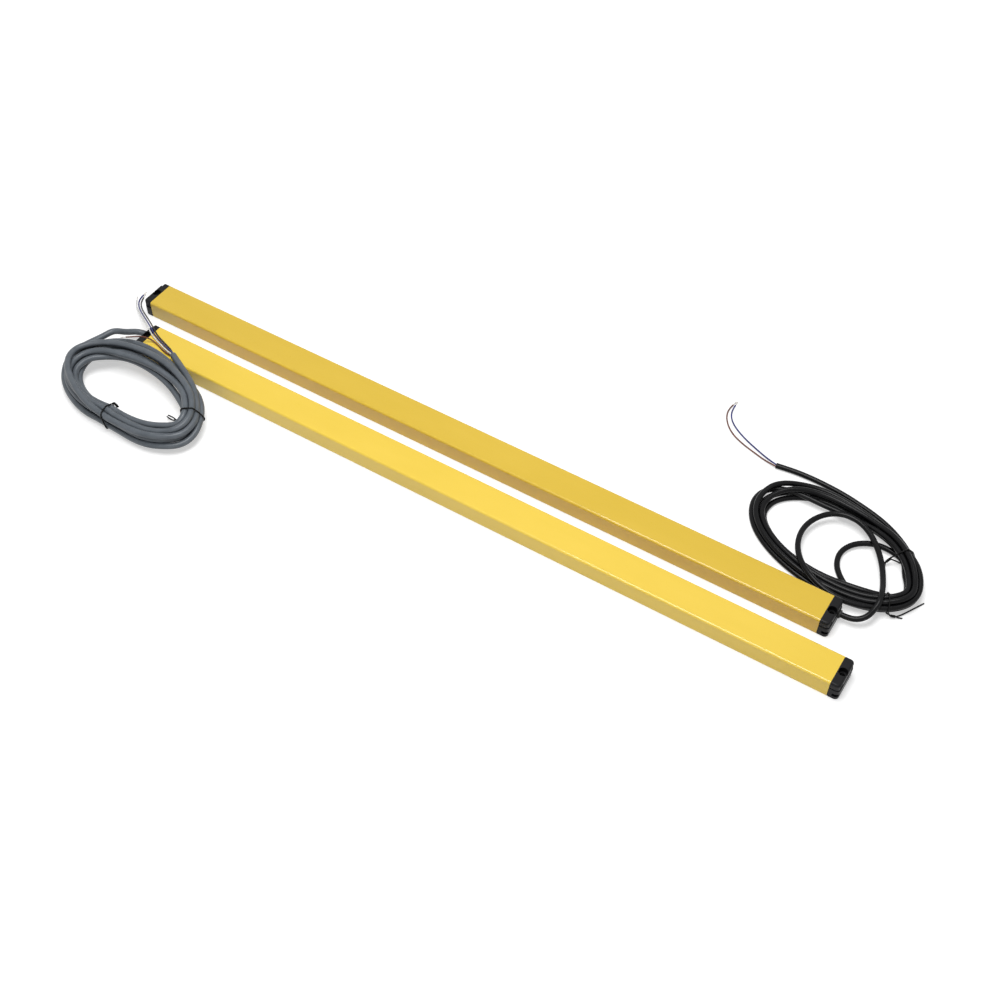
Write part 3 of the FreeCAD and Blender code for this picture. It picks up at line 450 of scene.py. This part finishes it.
# %% Where strands cross a tie's plane
def crossings(route, middle, normal, reach):
    """Each place where the smooth line passes a plane near its middle, and how it slants there."""
    found = []
    places = [Vector(place) for place in curve_weights(len(route)) @ route]
    for before, after in zip(places, places[1:]):
        start, end = (before - middle).dot(normal), (after - middle).dot(normal)
        if start * end > 0 or start == end:
            continue
        place = before.lerp(after, start / (start - end))
        if (place - middle).length < reach:
            run = (after - before).normalized()
            found.append((place, run / run.dot(normal) - normal))
    return found


def farthest(found, way, radius):
    """The outermost point in one direction over the slanted sections of all strands."""
    points = []
    for place, slant in found:
        stretched = (way + slant * slant.dot(way)) * radius ** 2
        points.append(place + stretched / math.sqrt(way.dot(stretched)))
    return max(points, key=way.dot)


# %% Bend a wire round the strands and twist its ends
WIRE_STEPS = 20
KNOT_OPENING = 0.04
TWIST_LENGTH = 4
TWIST_TURNS = 1.5
TWIST_STEPS = 12
TWIST_RADIUS = 0.55 * TIE_WIRE


def twist_points(base, way, side, phase):
    """One wire of a twist, from its base outwards."""
    other = way.cross(side)
    points = []
    for step in range(TWIST_STEPS + 1):
        share = step / TWIST_STEPS
        angle = phase + TWIST_TURNS * 2 * math.pi * share
        offset = side * math.cos(angle) + other * math.sin(angle)
        points.append(base + way * TWIST_LENGTH * share + offset * TWIST_RADIUS)
    return points


def make_tie(name, route, coil, tie, knot, way, ends):
    """A wire round all strands, whose ends twist together from the knot and then part."""
    turn = math.radians(tie["direction"])
    across = Vector((math.cos(turn), math.sin(turn), 0))
    normal = Vector((math.sin(turn), -math.cos(turn), tie.get("slant", 0))).normalized()
    upward = normal.cross(across).normalized()
    middle = Vector(tie["middle"])
    found = crossings(route, middle, normal, tie["radius"] + TIE_MARGIN)
    knot, way = Vector(knot), Vector(way).normalized()
    toward = knot - middle
    start = math.atan2(toward.dot(upward), toward.dot(across))
    radius = (coil["thickness"] + TIE_WIRE) / 2
    loop = []
    for step in range(WIRE_STEPS + 1):
        share = KNOT_OPENING + (1 - 2 * KNOT_OPENING) * step / WIRE_STEPS
        angle = start + 2 * math.pi * share
        outward = across * math.cos(angle) + upward * math.sin(angle)
        loop.append(farthest(found, outward, radius))
    side = (normal - way * normal.dot(way)).normalized()
    first = twist_points(knot, way, side, 0)
    second = twist_points(knot, way, side, math.pi)
    points = [Vector(end) for end in reversed(ends[0])] + first[::-1] + loop
    points += second + [Vector(end) for end in ends[1]]
    for point in points:
        point.z = max(point.z, TIE_WIRE / 2)
    print(f"{name}: round {len(found)} strands")
    return cord_curve(name, points, TIE_WIRE, detail=3)


# %% The four ties
emitter_ties = [
    make_tie(
        "emitter_twist_1", emitter_route, EMITTER_COIL, EMITTER_TIE_1,
        (358, 108, 7), (-0.4, -0.6, -0.5),
        ([(356, 102.5, 1.6), (358, 97, 0.7)], [(354, 104, 3), (352, 101.5, 2)]),
    ),
    make_tie(
        "emitter_twist_2", emitter_route, EMITTER_COIL, EMITTER_TIE_2,
        (380, 56, 3), (0.85, 0.45, -0.2),
        ([(387, 62.5, 1.2), (392, 71.5, 1.4), (398.4, 84.1, 0.7)],
         [(386, 59, 1), (389, 60.5, 0.7)]),
    ),
]
receiver_ties = [
    make_tie(
        "receiver_twist_1", receiver_route, RECEIVER_COIL, RECEIVER_TIE_1,
        (-307.1, -108.3, 16), (0.63, 0.2, -0.75),
        ([(-304.2, -107.9, 11)], [(-303.4, -106.9, 11.4)]),
    ),
    make_tie(
        "receiver_twist_2", receiver_route, RECEIVER_COIL, RECEIVER_TIE_2,
        (-249, -88.5, 7), (-0.95, 0, -0.3),
        ([(-256, -90, 4.6), (-264.4, -87.6, 3.4)], [(-255.5, -86, 4.8), (-264.5, -85.8, 3.6)]),
    ),
]

# %% [markdown]
# ## The cores
# Where a jacket is cut back, its cores come out: two in the emitter's cable, four in the
# receiver's. Each is copper in thin coloured insulation, and its last millimetres are stripped,
# twisted and tinned. A core is a cord of its own, so it is one smooth spline through listed
# points, and its bare end is a bundle of fine wires that spiral round its last direction.

# %% Routes of the cores
CORE_WIDTH = 1.4
CORES = {
    "emitter_core_blue": [
        (231.5, 156.1, 2.9), (223.5, 158.8, 1.6), (207.5, 165.2, 1), (194, 171, 1),
        (183, 177.2, 1), (175, 183.6, 1), (170, 191, 1), (168, 199, 1), (168, 204, 1),
    ],
    "emitter_core_brown": [
        (231.7, 154.5, 2.4), (222.5, 156, 1.4), (208.5, 160.2, 1), (194.5, 164.3, 1),
        (182.5, 169.8, 1), (173.5, 177.5, 1), (167.2, 187, 1), (164.8, 196.5, 1), (166, 203.5, 1),
    ],
    "receiver_core_blue": [
        (-297.2, -34.9, 22.2), (-305.2, -31.9, 20.6), (-314.4, -28.7, 19), (-323.6, -25.7, 19),
        (-332.6, -22.2, 19), (-337.9, -19.2, 19.6), (-342.6, -16.3, 19.4), (-350.9, -11.2, 16.5),
        (-360.4, -5.3, 12.5), (-370.4, 1, 8), (-379.6, 7, 4.2), (-387.2, 12.6, 1.8),
        (-391.8, 17.6, 1), (-394.2, 23, 1), (-394.8, 28, 1),
    ],
    "receiver_core_black": [
        (-297.2, -34.9, 20.6), (-304.6, -30, 19.2), (-313.8, -26.9, 19), (-322.9, -23.9, 19),
        (-331.6, -20.4, 19), (-341.6, -14.5, 19.4), (-349.8, -9.4, 16.5), (-359.3, -3.5, 12.5),
        (-369.3, 2.8, 8), (-378.5, 8.7, 4.2), (-385.8, 14.4, 1.8), (-389.8, 19, 1),
        (-392, 25, 1),
    ],
    "receiver_core_white": [
        (-297.9, -36.3, 22.2), (-306.4, -34, 20.4), (-315.4, -30.6, 19), (-324.6, -27.6, 19),
        (-333.4, -24.2, 19), (-338.6, -21.4, 19.7), (-343.6, -18.2, 19.4), (-352, -12.9, 16.5),
        (-361.5, -7, 12.5), (-371.5, -0.7, 8), (-380.7, 5.3, 4.4), (-387.4, 10, 2),
        (-391.6, 13.8, 1), (-395, 18.4, 1),
    ],
    "receiver_core_brown": [
        (-297.9, -36.3, 20.6), (-307, -36, 19.4), (-316, -32.8, 19), (-323.8, -30.2, 19.2),
        (-329, -30.4, 21), (-332.4, -32.8, 24), (-335, -36.3, 26.6), (-337.8, -40, 28.2),
        (-341.4, -43, 28.2), (-345.6, -45, 27.4),
    ],
}
print(f"{len(CORES)} cores")

# %% Make the cores and their bare ends
BARE_LENGTH = 6
BARE_WIRES = 6
BARE_RADIUS = 0.26
BARE_ROOT = 0.4
BARE_TURNS = 0.8
FRAY = 0.9
UNEVEN = 0.04
FINE_WIRE = 0.26
BARE_STEPS = 8


def bare_end(name, tip, way):
    """Fine wires that twist round the core's last direction and fray a little at their ends."""
    data = bpy.data.curves.new(name, "CURVE")
    data.dimensions = "3D"
    data.bevel_depth = FINE_WIRE / 2 * MM
    data.bevel_resolution = 1
    data.use_fill_caps = True
    side = way.orthogonal().normalized()
    other = way.cross(side)
    for wire in range(BARE_WIRES):
        points = []
        for step in range(BARE_STEPS + 1):
            share = step / BARE_STEPS
            angle = 2 * math.pi * (wire / BARE_WIRES + BARE_TURNS * share)
            radius = BARE_RADIUS * (1 + FRAY * share ** 4)
            offset = (side * math.cos(angle) + other * math.sin(angle)) * radius
            reach = BARE_LENGTH * share * (1 - UNEVEN * (wire % 3)) - BARE_ROOT
            points.append(tip + way * reach + offset)
        add_spline(data, points)
    return add_object(name, data)


core_cords = {}
core_ends = {}
for name, route in CORES.items():
    core = cord_curve(name + "_insulation", route, CORE_WIDTH, detail=3)
    way = (Vector(route[-1]) - Vector(route[-2])).normalized()
    core_cords[name] = core
    core_ends[name] = bare_end(name + "_bare_end", Vector(route[-1]), way)
    print(f"{name}: {route_length(route) * 1000:.0f} mm")

# %% [markdown]
# ## One effect for every surface
# No real surface has one even colour. Paint, moulded nylon, rubber and cable jackets all differ a
# little in tone over centimetres, and have a fine grain that breaks up the gloss. Every material
# of the part uses this effect, so it is built once as a node group. It puts out a broad tone, a
# fine grain and a height, and each material gives it its own sizes.

# %% The node group for tone and grain
TONE_RELIEF = 0.25


def new_group_socket(group, name, way, kind="NodeSocketFloat", default=None):
    """Add one named input or output to a node group."""
    socket = group.interface.new_socket(name=name, in_out=way, socket_type=kind)
    if default is not None:
        socket.default_value = default


def build_surface_grain():
    """A node group that puts out a broad tone, a fine grain and a height."""
    group = bpy.data.node_groups.new("surface_grain", "ShaderNodeTree")
    new_group_socket(group, "Place", "INPUT", "NodeSocketVector")
    new_group_socket(group, "Tone Size", "INPUT", default=40.0)
    new_group_socket(group, "Grain Size", "INPUT", default=2500.0)
    for name in ("Tone", "Grain", "Height"):
        new_group_socket(group, name, "OUTPUT")
    tree = group.nodes
    start, end = tree.new("NodeGroupInput"), tree.new("NodeGroupOutput")
    tone, grain = tree.new("ShaderNodeTexNoise"), tree.new("ShaderNodeTexNoise")
    tone.inputs["Detail"].default_value = 4
    grain.inputs["Detail"].default_value = 2
    height = tree.new("ShaderNodeMath")
    height.operation = "MULTIPLY_ADD"
    height.inputs[1].default_value = TONE_RELIEF
    link = group.links.new
    link(start.outputs["Place"], tone.inputs["Vector"])
    link(start.outputs["Place"], grain.inputs["Vector"])
    link(start.outputs["Tone Size"], tone.inputs["Scale"])
    link(start.outputs["Grain Size"], grain.inputs["Scale"])
    link(tone.outputs["Fac"], height.inputs[0])
    link(grain.outputs["Fac"], height.inputs[2])
    link(tone.outputs["Fac"], end.inputs["Tone"])
    link(grain.outputs["Fac"], end.inputs["Grain"])
    link(height.outputs[0], end.inputs["Height"])
    return group


surface_grain = build_surface_grain()
puts_out = [item.name for item in surface_grain.interface.items_tree if item.in_out == "OUTPUT"]
print("the group puts out", ", ".join(puts_out))


# %% Build a material from its own values
NOISE_LOW, NOISE_HIGH = 0.3, 0.7
RELIEF_STRENGTH = 0.6
TENTH = MM / 10
print(f"colour and gloss change between noise values {NOISE_LOW} and {NOISE_HIGH}")


def ramp(tree, source, colours):
    """Turn a noise value into a colour between two."""
    node = tree.nodes.new("ShaderNodeValToRGB")
    node.color_ramp.elements[0].position = NOISE_LOW
    node.color_ramp.elements[1].position = NOISE_HIGH
    for element, colour in zip(node.color_ramp.elements, colours):
        element.color = (*colour, 1)
    tree.links.new(source, node.inputs["Fac"])
    return node.outputs["Color"]


def spread(tree, source, low, high, start, end):
    """Map a value from one range to another."""
    node = tree.nodes.new("ShaderNodeMapRange")
    numbers = {"From Min": low, "From Max": high, "To Min": start, "To Max": end}
    for name, number in numbers.items():
        node.inputs[name].default_value = number
    tree.links.new(source, node.inputs["Value"])
    return node.outputs["Result"]


def finish_of(name, colours, rough, tone=40, grain=2500, bump=0.1, stretch=(1, 1, 1),
              constants=()):
    """A material whose colour, gloss and relief vary with the surface grain.

    colours are its darker and lighter colour, rough its lowest and highest roughness, tone and
    grain the two pattern scales, bump the relief in tenths of a millimetre, and stretch the
    pattern's shares along X, Y and Z. constants name sockets of the shader and their values."""
    material = bpy.data.materials.new(name)
    material.use_nodes = True
    tree = material.node_tree
    shader = tree.nodes["Principled BSDF"]
    for socket, number in constants:
        shader.inputs[socket].default_value = number
    place = tree.nodes.new("ShaderNodeTexCoord")
    mapping = tree.nodes.new("ShaderNodeMapping")
    mapping.inputs["Scale"].default_value = stretch
    pattern = tree.nodes.new("ShaderNodeGroup")
    pattern.node_tree = surface_grain
    pattern.inputs["Tone Size"].default_value = tone
    pattern.inputs["Grain Size"].default_value = grain
    relief = tree.nodes.new("ShaderNodeBump")
    relief.inputs["Strength"].default_value = RELIEF_STRENGTH
    relief.inputs["Distance"].default_value = bump * TENTH
    tree.links.new(place.outputs["Object"], mapping.inputs["Vector"])
    tree.links.new(mapping.outputs["Vector"], pattern.inputs["Place"])
    colour = ramp(tree, pattern.outputs["Tone"], colours)
    tree.links.new(colour, shader.inputs["Base Color"])
    roughness = spread(tree, pattern.outputs["Grain"], NOISE_LOW, NOISE_HIGH, *rough)
    tree.links.new(roughness, shader.inputs["Roughness"])
    tree.links.new(pattern.outputs["Height"], relief.inputs["Height"])
    tree.links.new(relief.outputs["Normal"], shader.inputs["Normal"])
    return material


# %% [markdown]
# ## Paint, plastic, rubber and metal
# The profiles are extruded aluminium with a yellow powder coat: a satin surface under a thin
# gloss, with a slight orange-peel relief drawn out along the bar. The emitter's coat is a darker
# copy of the same yellow, painted shade for the rear bar. The end caps are black nylon from a mould
# with a fine spark-eroded grain. The window is a tinted plastic that lets red and infrared light
# through, so it is a clear dark red material with nothing painted behind it.

# %% Finishes of the bars
COAT_GLOSS = (("Specular IOR Level", 0.3), ("Coat Weight", 0.5), ("Coat Roughness", 0.08))
# painted shade: a darker copy of the yellow coat, for the rear bar's profile
shaded_emitter_coat = finish_of(
    "shaded_yellow_coat", [(0.77, 0.52, 0.035), (0.81, 0.55, 0.045)], (0.27, 0.36),
    tone=30, grain=1600, bump=0.35, stretch=(0.35, 1, 1), constants=COAT_GLOSS,
)
finishes = {
    "yellow_profile": finish_of(
        "yellow_coat", [(0.93, 0.65, 0.06), (0.98, 0.69, 0.075)], (0.27, 0.36),
        tone=30, grain=1600, bump=0.35, stretch=(0.35, 1, 1), constants=COAT_GLOSS,
    ),
    "black_moulding": finish_of(
        "moulded_nylon", [(0.004, 0.004, 0.0045), (0.009, 0.009, 0.01)], (0.34, 0.46),
        tone=60, grain=3500, bump=0.5, constants=(("Specular IOR Level", 0.16),),
    ),
    "gasket_rubber": finish_of(
        "foam_rubber", [(0.014, 0.014, 0.014), (0.03, 0.03, 0.03)], (0.75, 0.9),
        tone=300, grain=2500, bump=2,
    ),
    "gland_rubber": finish_of(
        "gland_rubber", [(0.012, 0.012, 0.012), (0.02, 0.02, 0.02)], (0.5, 0.62),
        tone=80, grain=3000, bump=0.6,
    ),
    "red_window": finish_of(
        "tinted_window", [(0.34, 0.006, 0.008), (0.42, 0.008, 0.01)], (0.05, 0.1),
        tone=25, grain=1200, bump=0.05,
        constants=(("Transmission Weight", 0.9), ("IOR", 1.49)),
    ),
    "zinc_screw": finish_of(
        "zinc_plating", [(0.5, 0.5, 0.52), (0.68, 0.68, 0.68)], (0.28, 0.42),
        tone=300, grain=4000, bump=0.3, stretch=(1, 6, 1), constants=(("Metallic", 1.0),),
    ),
}
print(f"{len(finishes)} finishes of the bars")

# %% [markdown]
# ## What lies behind the window
# The electronics only show faintly through the red window, but each has its own surface. The
# board is glass cloth under green lacquer, the optics holder is a matt black moulding, lenses and
# lamps are clear resins, and the chips are black resin with a dull face.

# %% Finishes of the electronics
finishes |= {
    "board_laminate": finish_of(
        "green_lacquer", [(0.008, 0.09, 0.035), (0.02, 0.17, 0.06)], (0.25, 0.4),
        tone=220, grain=2600, bump=0.6,
    ),
    "optics_moulding": finish_of(
        "optics_moulding", [(0.012, 0.012, 0.012), (0.022, 0.022, 0.022)], (0.6, 0.75),
        tone=80, grain=3000, bump=0.6,
    ),
    "clear_lens": finish_of(
        "clear_lens", [(0.86, 0.88, 0.9), (0.95, 0.96, 0.97)], (0.04, 0.1),
        tone=60, grain=1500, bump=0.05,
        constants=(("Transmission Weight", 0.95), ("IOR", 1.5)),
    ),
    "lamp_lens": finish_of(
        "lamp_resin", [(0.03, 0.35, 0.06), (0.05, 0.5, 0.09)], (0.08, 0.16),
        tone=400, grain=2500, bump=0.1, constants=(("Transmission Weight", 0.6), ("IOR", 1.5)),
    ),
    "diode_resin": finish_of(
        "diode_resin", [(0.02, 0.014, 0.03), (0.05, 0.035, 0.07)], (0.08, 0.16),
        tone=400, grain=2500, bump=0.1, constants=(("Transmission Weight", 0.4), ("IOR", 1.5)),
    ),
    "chip_resin": finish_of(
        "chip_resin", [(0.012, 0.012, 0.012), (0.025, 0.025, 0.025)], (0.5, 0.65),
        tone=400, grain=4000, bump=0.5,
    ),
    "connector_nylon": finish_of(
        "connector_nylon", [(0.72, 0.69, 0.6), (0.82, 0.8, 0.72)], (0.4, 0.5),
        tone=200, grain=3000, bump=0.4,
    ),
    "wire_insulation": finish_of(
        "wire_insulation", [(0.02, 0.04, 0.25), (0.04, 0.07, 0.36)], (0.35, 0.45),
        tone=200, grain=3000, bump=0.4,
    ),
}
print(f"{len(finishes)} finishes so far")

# %% [markdown]
# ## Jackets, insulation and wire
# A cable's jacket is soft plastic. It looks rubbery, with one broad soft highlight along each
# strand, and it carries fine rubbed marks. The insulation of the cores is harder and glossier,
# and the stripped copper is tinned.

# %% Finishes of the cables
finishes |= {
    "grey_jacket": finish_of(
        "grey_jacket", [(0.1, 0.115, 0.132), (0.135, 0.152, 0.172)], (0.26, 0.38),
        tone=90, grain=1800, bump=0.6, constants=(("Specular IOR Level", 0.3),),
    ),
    "black_jacket": finish_of(
        "black_jacket", [(0.003, 0.003, 0.0035), (0.006, 0.006, 0.007)], (0.22, 0.32),
        tone=90, grain=1800, bump=0.4, constants=(("Specular IOR Level", 0.14),),
    ),
    "tie_plastic": finish_of(
        "tie_plastic", [(0.002, 0.002, 0.002), (0.005, 0.005, 0.005)], (0.3, 0.42),
        tone=400, grain=3000, bump=0.5, constants=(("Specular IOR Level", 0.14),),
    ),
    "core_blue": finish_of(
        "core_blue", [(0.008, 0.012, 0.11), (0.016, 0.024, 0.19)], (0.28, 0.4), tone=150,
    ),
    "core_brown": finish_of(
        "core_brown", [(0.1, 0.028, 0.014), (0.17, 0.05, 0.025)], (0.28, 0.4), tone=150,
    ),
    "core_black": finish_of(
        "core_black", [(0.008, 0.008, 0.008), (0.016, 0.016, 0.016)], (0.28, 0.4), tone=150,
    ),
    "core_white": finish_of(
        "core_white", [(0.72, 0.72, 0.7), (0.82, 0.82, 0.8)], (0.3, 0.42), tone=150,
    ),
}
tinned_copper = finish_of(
    "tinned_copper", [(0.55, 0.5, 0.46), (0.75, 0.73, 0.7)], (0.25, 0.4),
    tone=900, grain=5000, bump=0.3, constants=(("Metallic", 1.0),),
)
print(f"{len(finishes)} finishes in all, and {tinned_copper.name} on the bare ends")

# %% [markdown]
# ## Dress the frame
# The frame's record says which finish each node has, so one loop dresses them all, and a node
# that is added to the frame later is dressed too. Only the emitter's profile differs: it takes the
# darker copy of the yellow coat, painted shade.

# %% Give every node of the frame its finish
EMITTER_PROFILE = "emitter_housing"
slots = {part["node"]: part["material_slot"] for part in frame["record"]["subparts"]}
for name, node in nodes.items():
    node.data.materials.clear()
    # the emitter's profile gets the darker coat, which paints shade on it
    coat = shaded_emitter_coat if name == EMITTER_PROFILE else finishes[slots[name]]
    node.data.materials.append(coat)
print(f"{len(nodes)} nodes dressed")

# %% [markdown]
# Each cable is one cord with its twist ties on it, and each core is a cord that leaves it. They
# take the place of the plain solids that stood for them in the frame.

# %% The two cables
def declare_cord(piece, slot, replaced, length):
    """Give a cord its finish, hang it on the root and hide the frame's pieces that it replaces."""
    piece.data.materials.append(finishes[slot])
    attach(piece, "root")
    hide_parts(*replaced)


def dress_tie(tie, node):
    """A twist tie rides with its coil and takes its solid's place."""
    tie.data.materials.append(finishes["tie_plastic"])
    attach(tie, "root")
    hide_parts(node)


for bar, ties in (("emitter", emitter_ties), ("receiver", receiver_ties)):
    for number, tie in enumerate(ties, start=1):
        dress_tie(tie, f"{bar}_cable_tie_{number}")
declare_cord(emitter_cable, "black_jacket",
             [f"emitter_cable_{piece}" for piece in ("lead", "coil", "loop", "tail")],
             emitter_length)
declare_cord(receiver_cable, "grey_jacket",
             [f"receiver_cable_{piece}" for piece in ("lead", "coil", "tail")],
             receiver_length)
print(f"{emitter_length + receiver_length:.2f} m of cable on the two bars")

# %% The six cores
for name, core in core_cords.items():
    tip = core_ends[name]
    tip.data.materials.append(tinned_copper)
    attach(tip, "root")
    colour = "core_" + name.split("_")[-1]
    declare_cord(core, colour, [name], route_length(CORES[name]))
print(f"{len(core_cords)} cores declared")

# %% [markdown]
# ## Light and floor
# The photograph is a studio shot on white. A soft lamp hangs above the bars, so their tops are
# bright, their rounded edges catch a line of light and their sides are darker. A weak lamp stands
# low in front and lifts the sides a little. The white all round is the floor's own colour with
# some light added where it is seen directly, more of it farther out, where the lamp doesn't
# reach. The object is lit plainly and still casts its soft shadow.

# %% Light the set
def area_lamp(name, place, size, power, target=(0, 0, 0)):
    """A soft lamp of some width and depth that points at a target."""
    data = bpy.data.lights.new(name, "AREA")
    lamp = add_object(name, data)
    lamp.location = place
    lamp.rotation_euler = (Vector(target) - lamp.location).to_track_quat("-Z", "Y").to_euler()
    data.shape = "RECTANGLE"
    data.size, data.size_y = size
    data.energy = power
    return lamp


lamps = [
    area_lamp("key", (0, -0.1, 1.6), (0.7, 1.1), 23),
    area_lamp("front", (0.3, -2.2, 0.5), (1.0, 0.6), 4),
]


def seen_directly(tree):
    """One where the camera sees a surface directly, in a mirror or through glass."""
    path = tree.nodes.new("ShaderNodeLightPath")
    value = path.outputs["Is Camera Ray"]
    for name in ("Is Glossy Ray", "Is Transmission Ray"):
        larger = tree.nodes.new("ShaderNodeMath")
        larger.operation = "MAXIMUM"
        tree.links.new(value, larger.inputs[0])
        tree.links.new(path.outputs[name], larger.inputs[1])
        value = larger.outputs[0]
    return value


AMBIENT = 0.15
world = bpy.data.worlds.new("studio")
bpy.context.scene.world = world
world.use_nodes = True
backdrop = world.node_tree.nodes["Background"]
backdrop.inputs["Color"].default_value = (1, 1, 1, 1)
strength = spread(world.node_tree, seen_directly(world.node_tree), 0, 1, AMBIENT, 1)
world.node_tree.links.new(strength, backdrop.inputs["Strength"])
print(", ".join(f"{lamp.name} lamp {lamp.data.energy:.0f} W" for lamp in lamps))

# %% Lay the floor
FLOOR_SIZE = 6
FLOOR_GREY = 0.7
FLOOR_LIGHT = 0.5
GLOW_START, GLOW_END = 0.6, 1.5
bm = bmesh.new()
bmesh.ops.create_grid(bm, x_segments=1, y_segments=1, size=FLOOR_SIZE)
floor = add_object("floor", bpy.data.meshes.new("floor"))
bm.to_mesh(floor.data)
bm.free()
white_floor = bpy.data.materials.new("white_floor")
white_floor.use_nodes = True
floor_shader = white_floor.node_tree.nodes["Principled BSDF"]
floor_shader.inputs["Base Color"].default_value = (FLOOR_GREY, FLOOR_GREY, FLOOR_GREY, 1)
floor_shader.inputs["Roughness"].default_value = 0.9
floor_shader.inputs["Specular IOR Level"].default_value = 0.0
floor_shader.inputs["Emission Color"].default_value = (1, 1, 1, 1)
floor_tree = white_floor.node_tree
floor_place = floor_tree.nodes.new("ShaderNodeTexCoord")
from_middle = floor_tree.nodes.new("ShaderNodeVectorMath")
from_middle.operation = "LENGTH"
floor_tree.links.new(floor_place.outputs["Object"], from_middle.inputs[0])
floor_glow = floor_tree.nodes.new("ShaderNodeMath")
floor_glow.operation = "MULTIPLY"
far_glow = spread(floor_tree, from_middle.outputs["Value"], GLOW_START, GLOW_END, FLOOR_LIGHT, 1)
floor_tree.links.new(far_glow, floor_glow.inputs[0])
floor_tree.links.new(seen_directly(floor_tree), floor_glow.inputs[1])
floor_tree.links.new(floor_glow.outputs[0], floor_shader.inputs["Emission Strength"])
floor.data.materials.append(white_floor)
print(f"a floor {2 * FLOOR_SIZE} m wide")

# %% [markdown]
# ## Bring the scene up to date
# The view layer is updated once more, after every piece has been added.

# %% Update the view layer
bpy.context.view_layer.update()
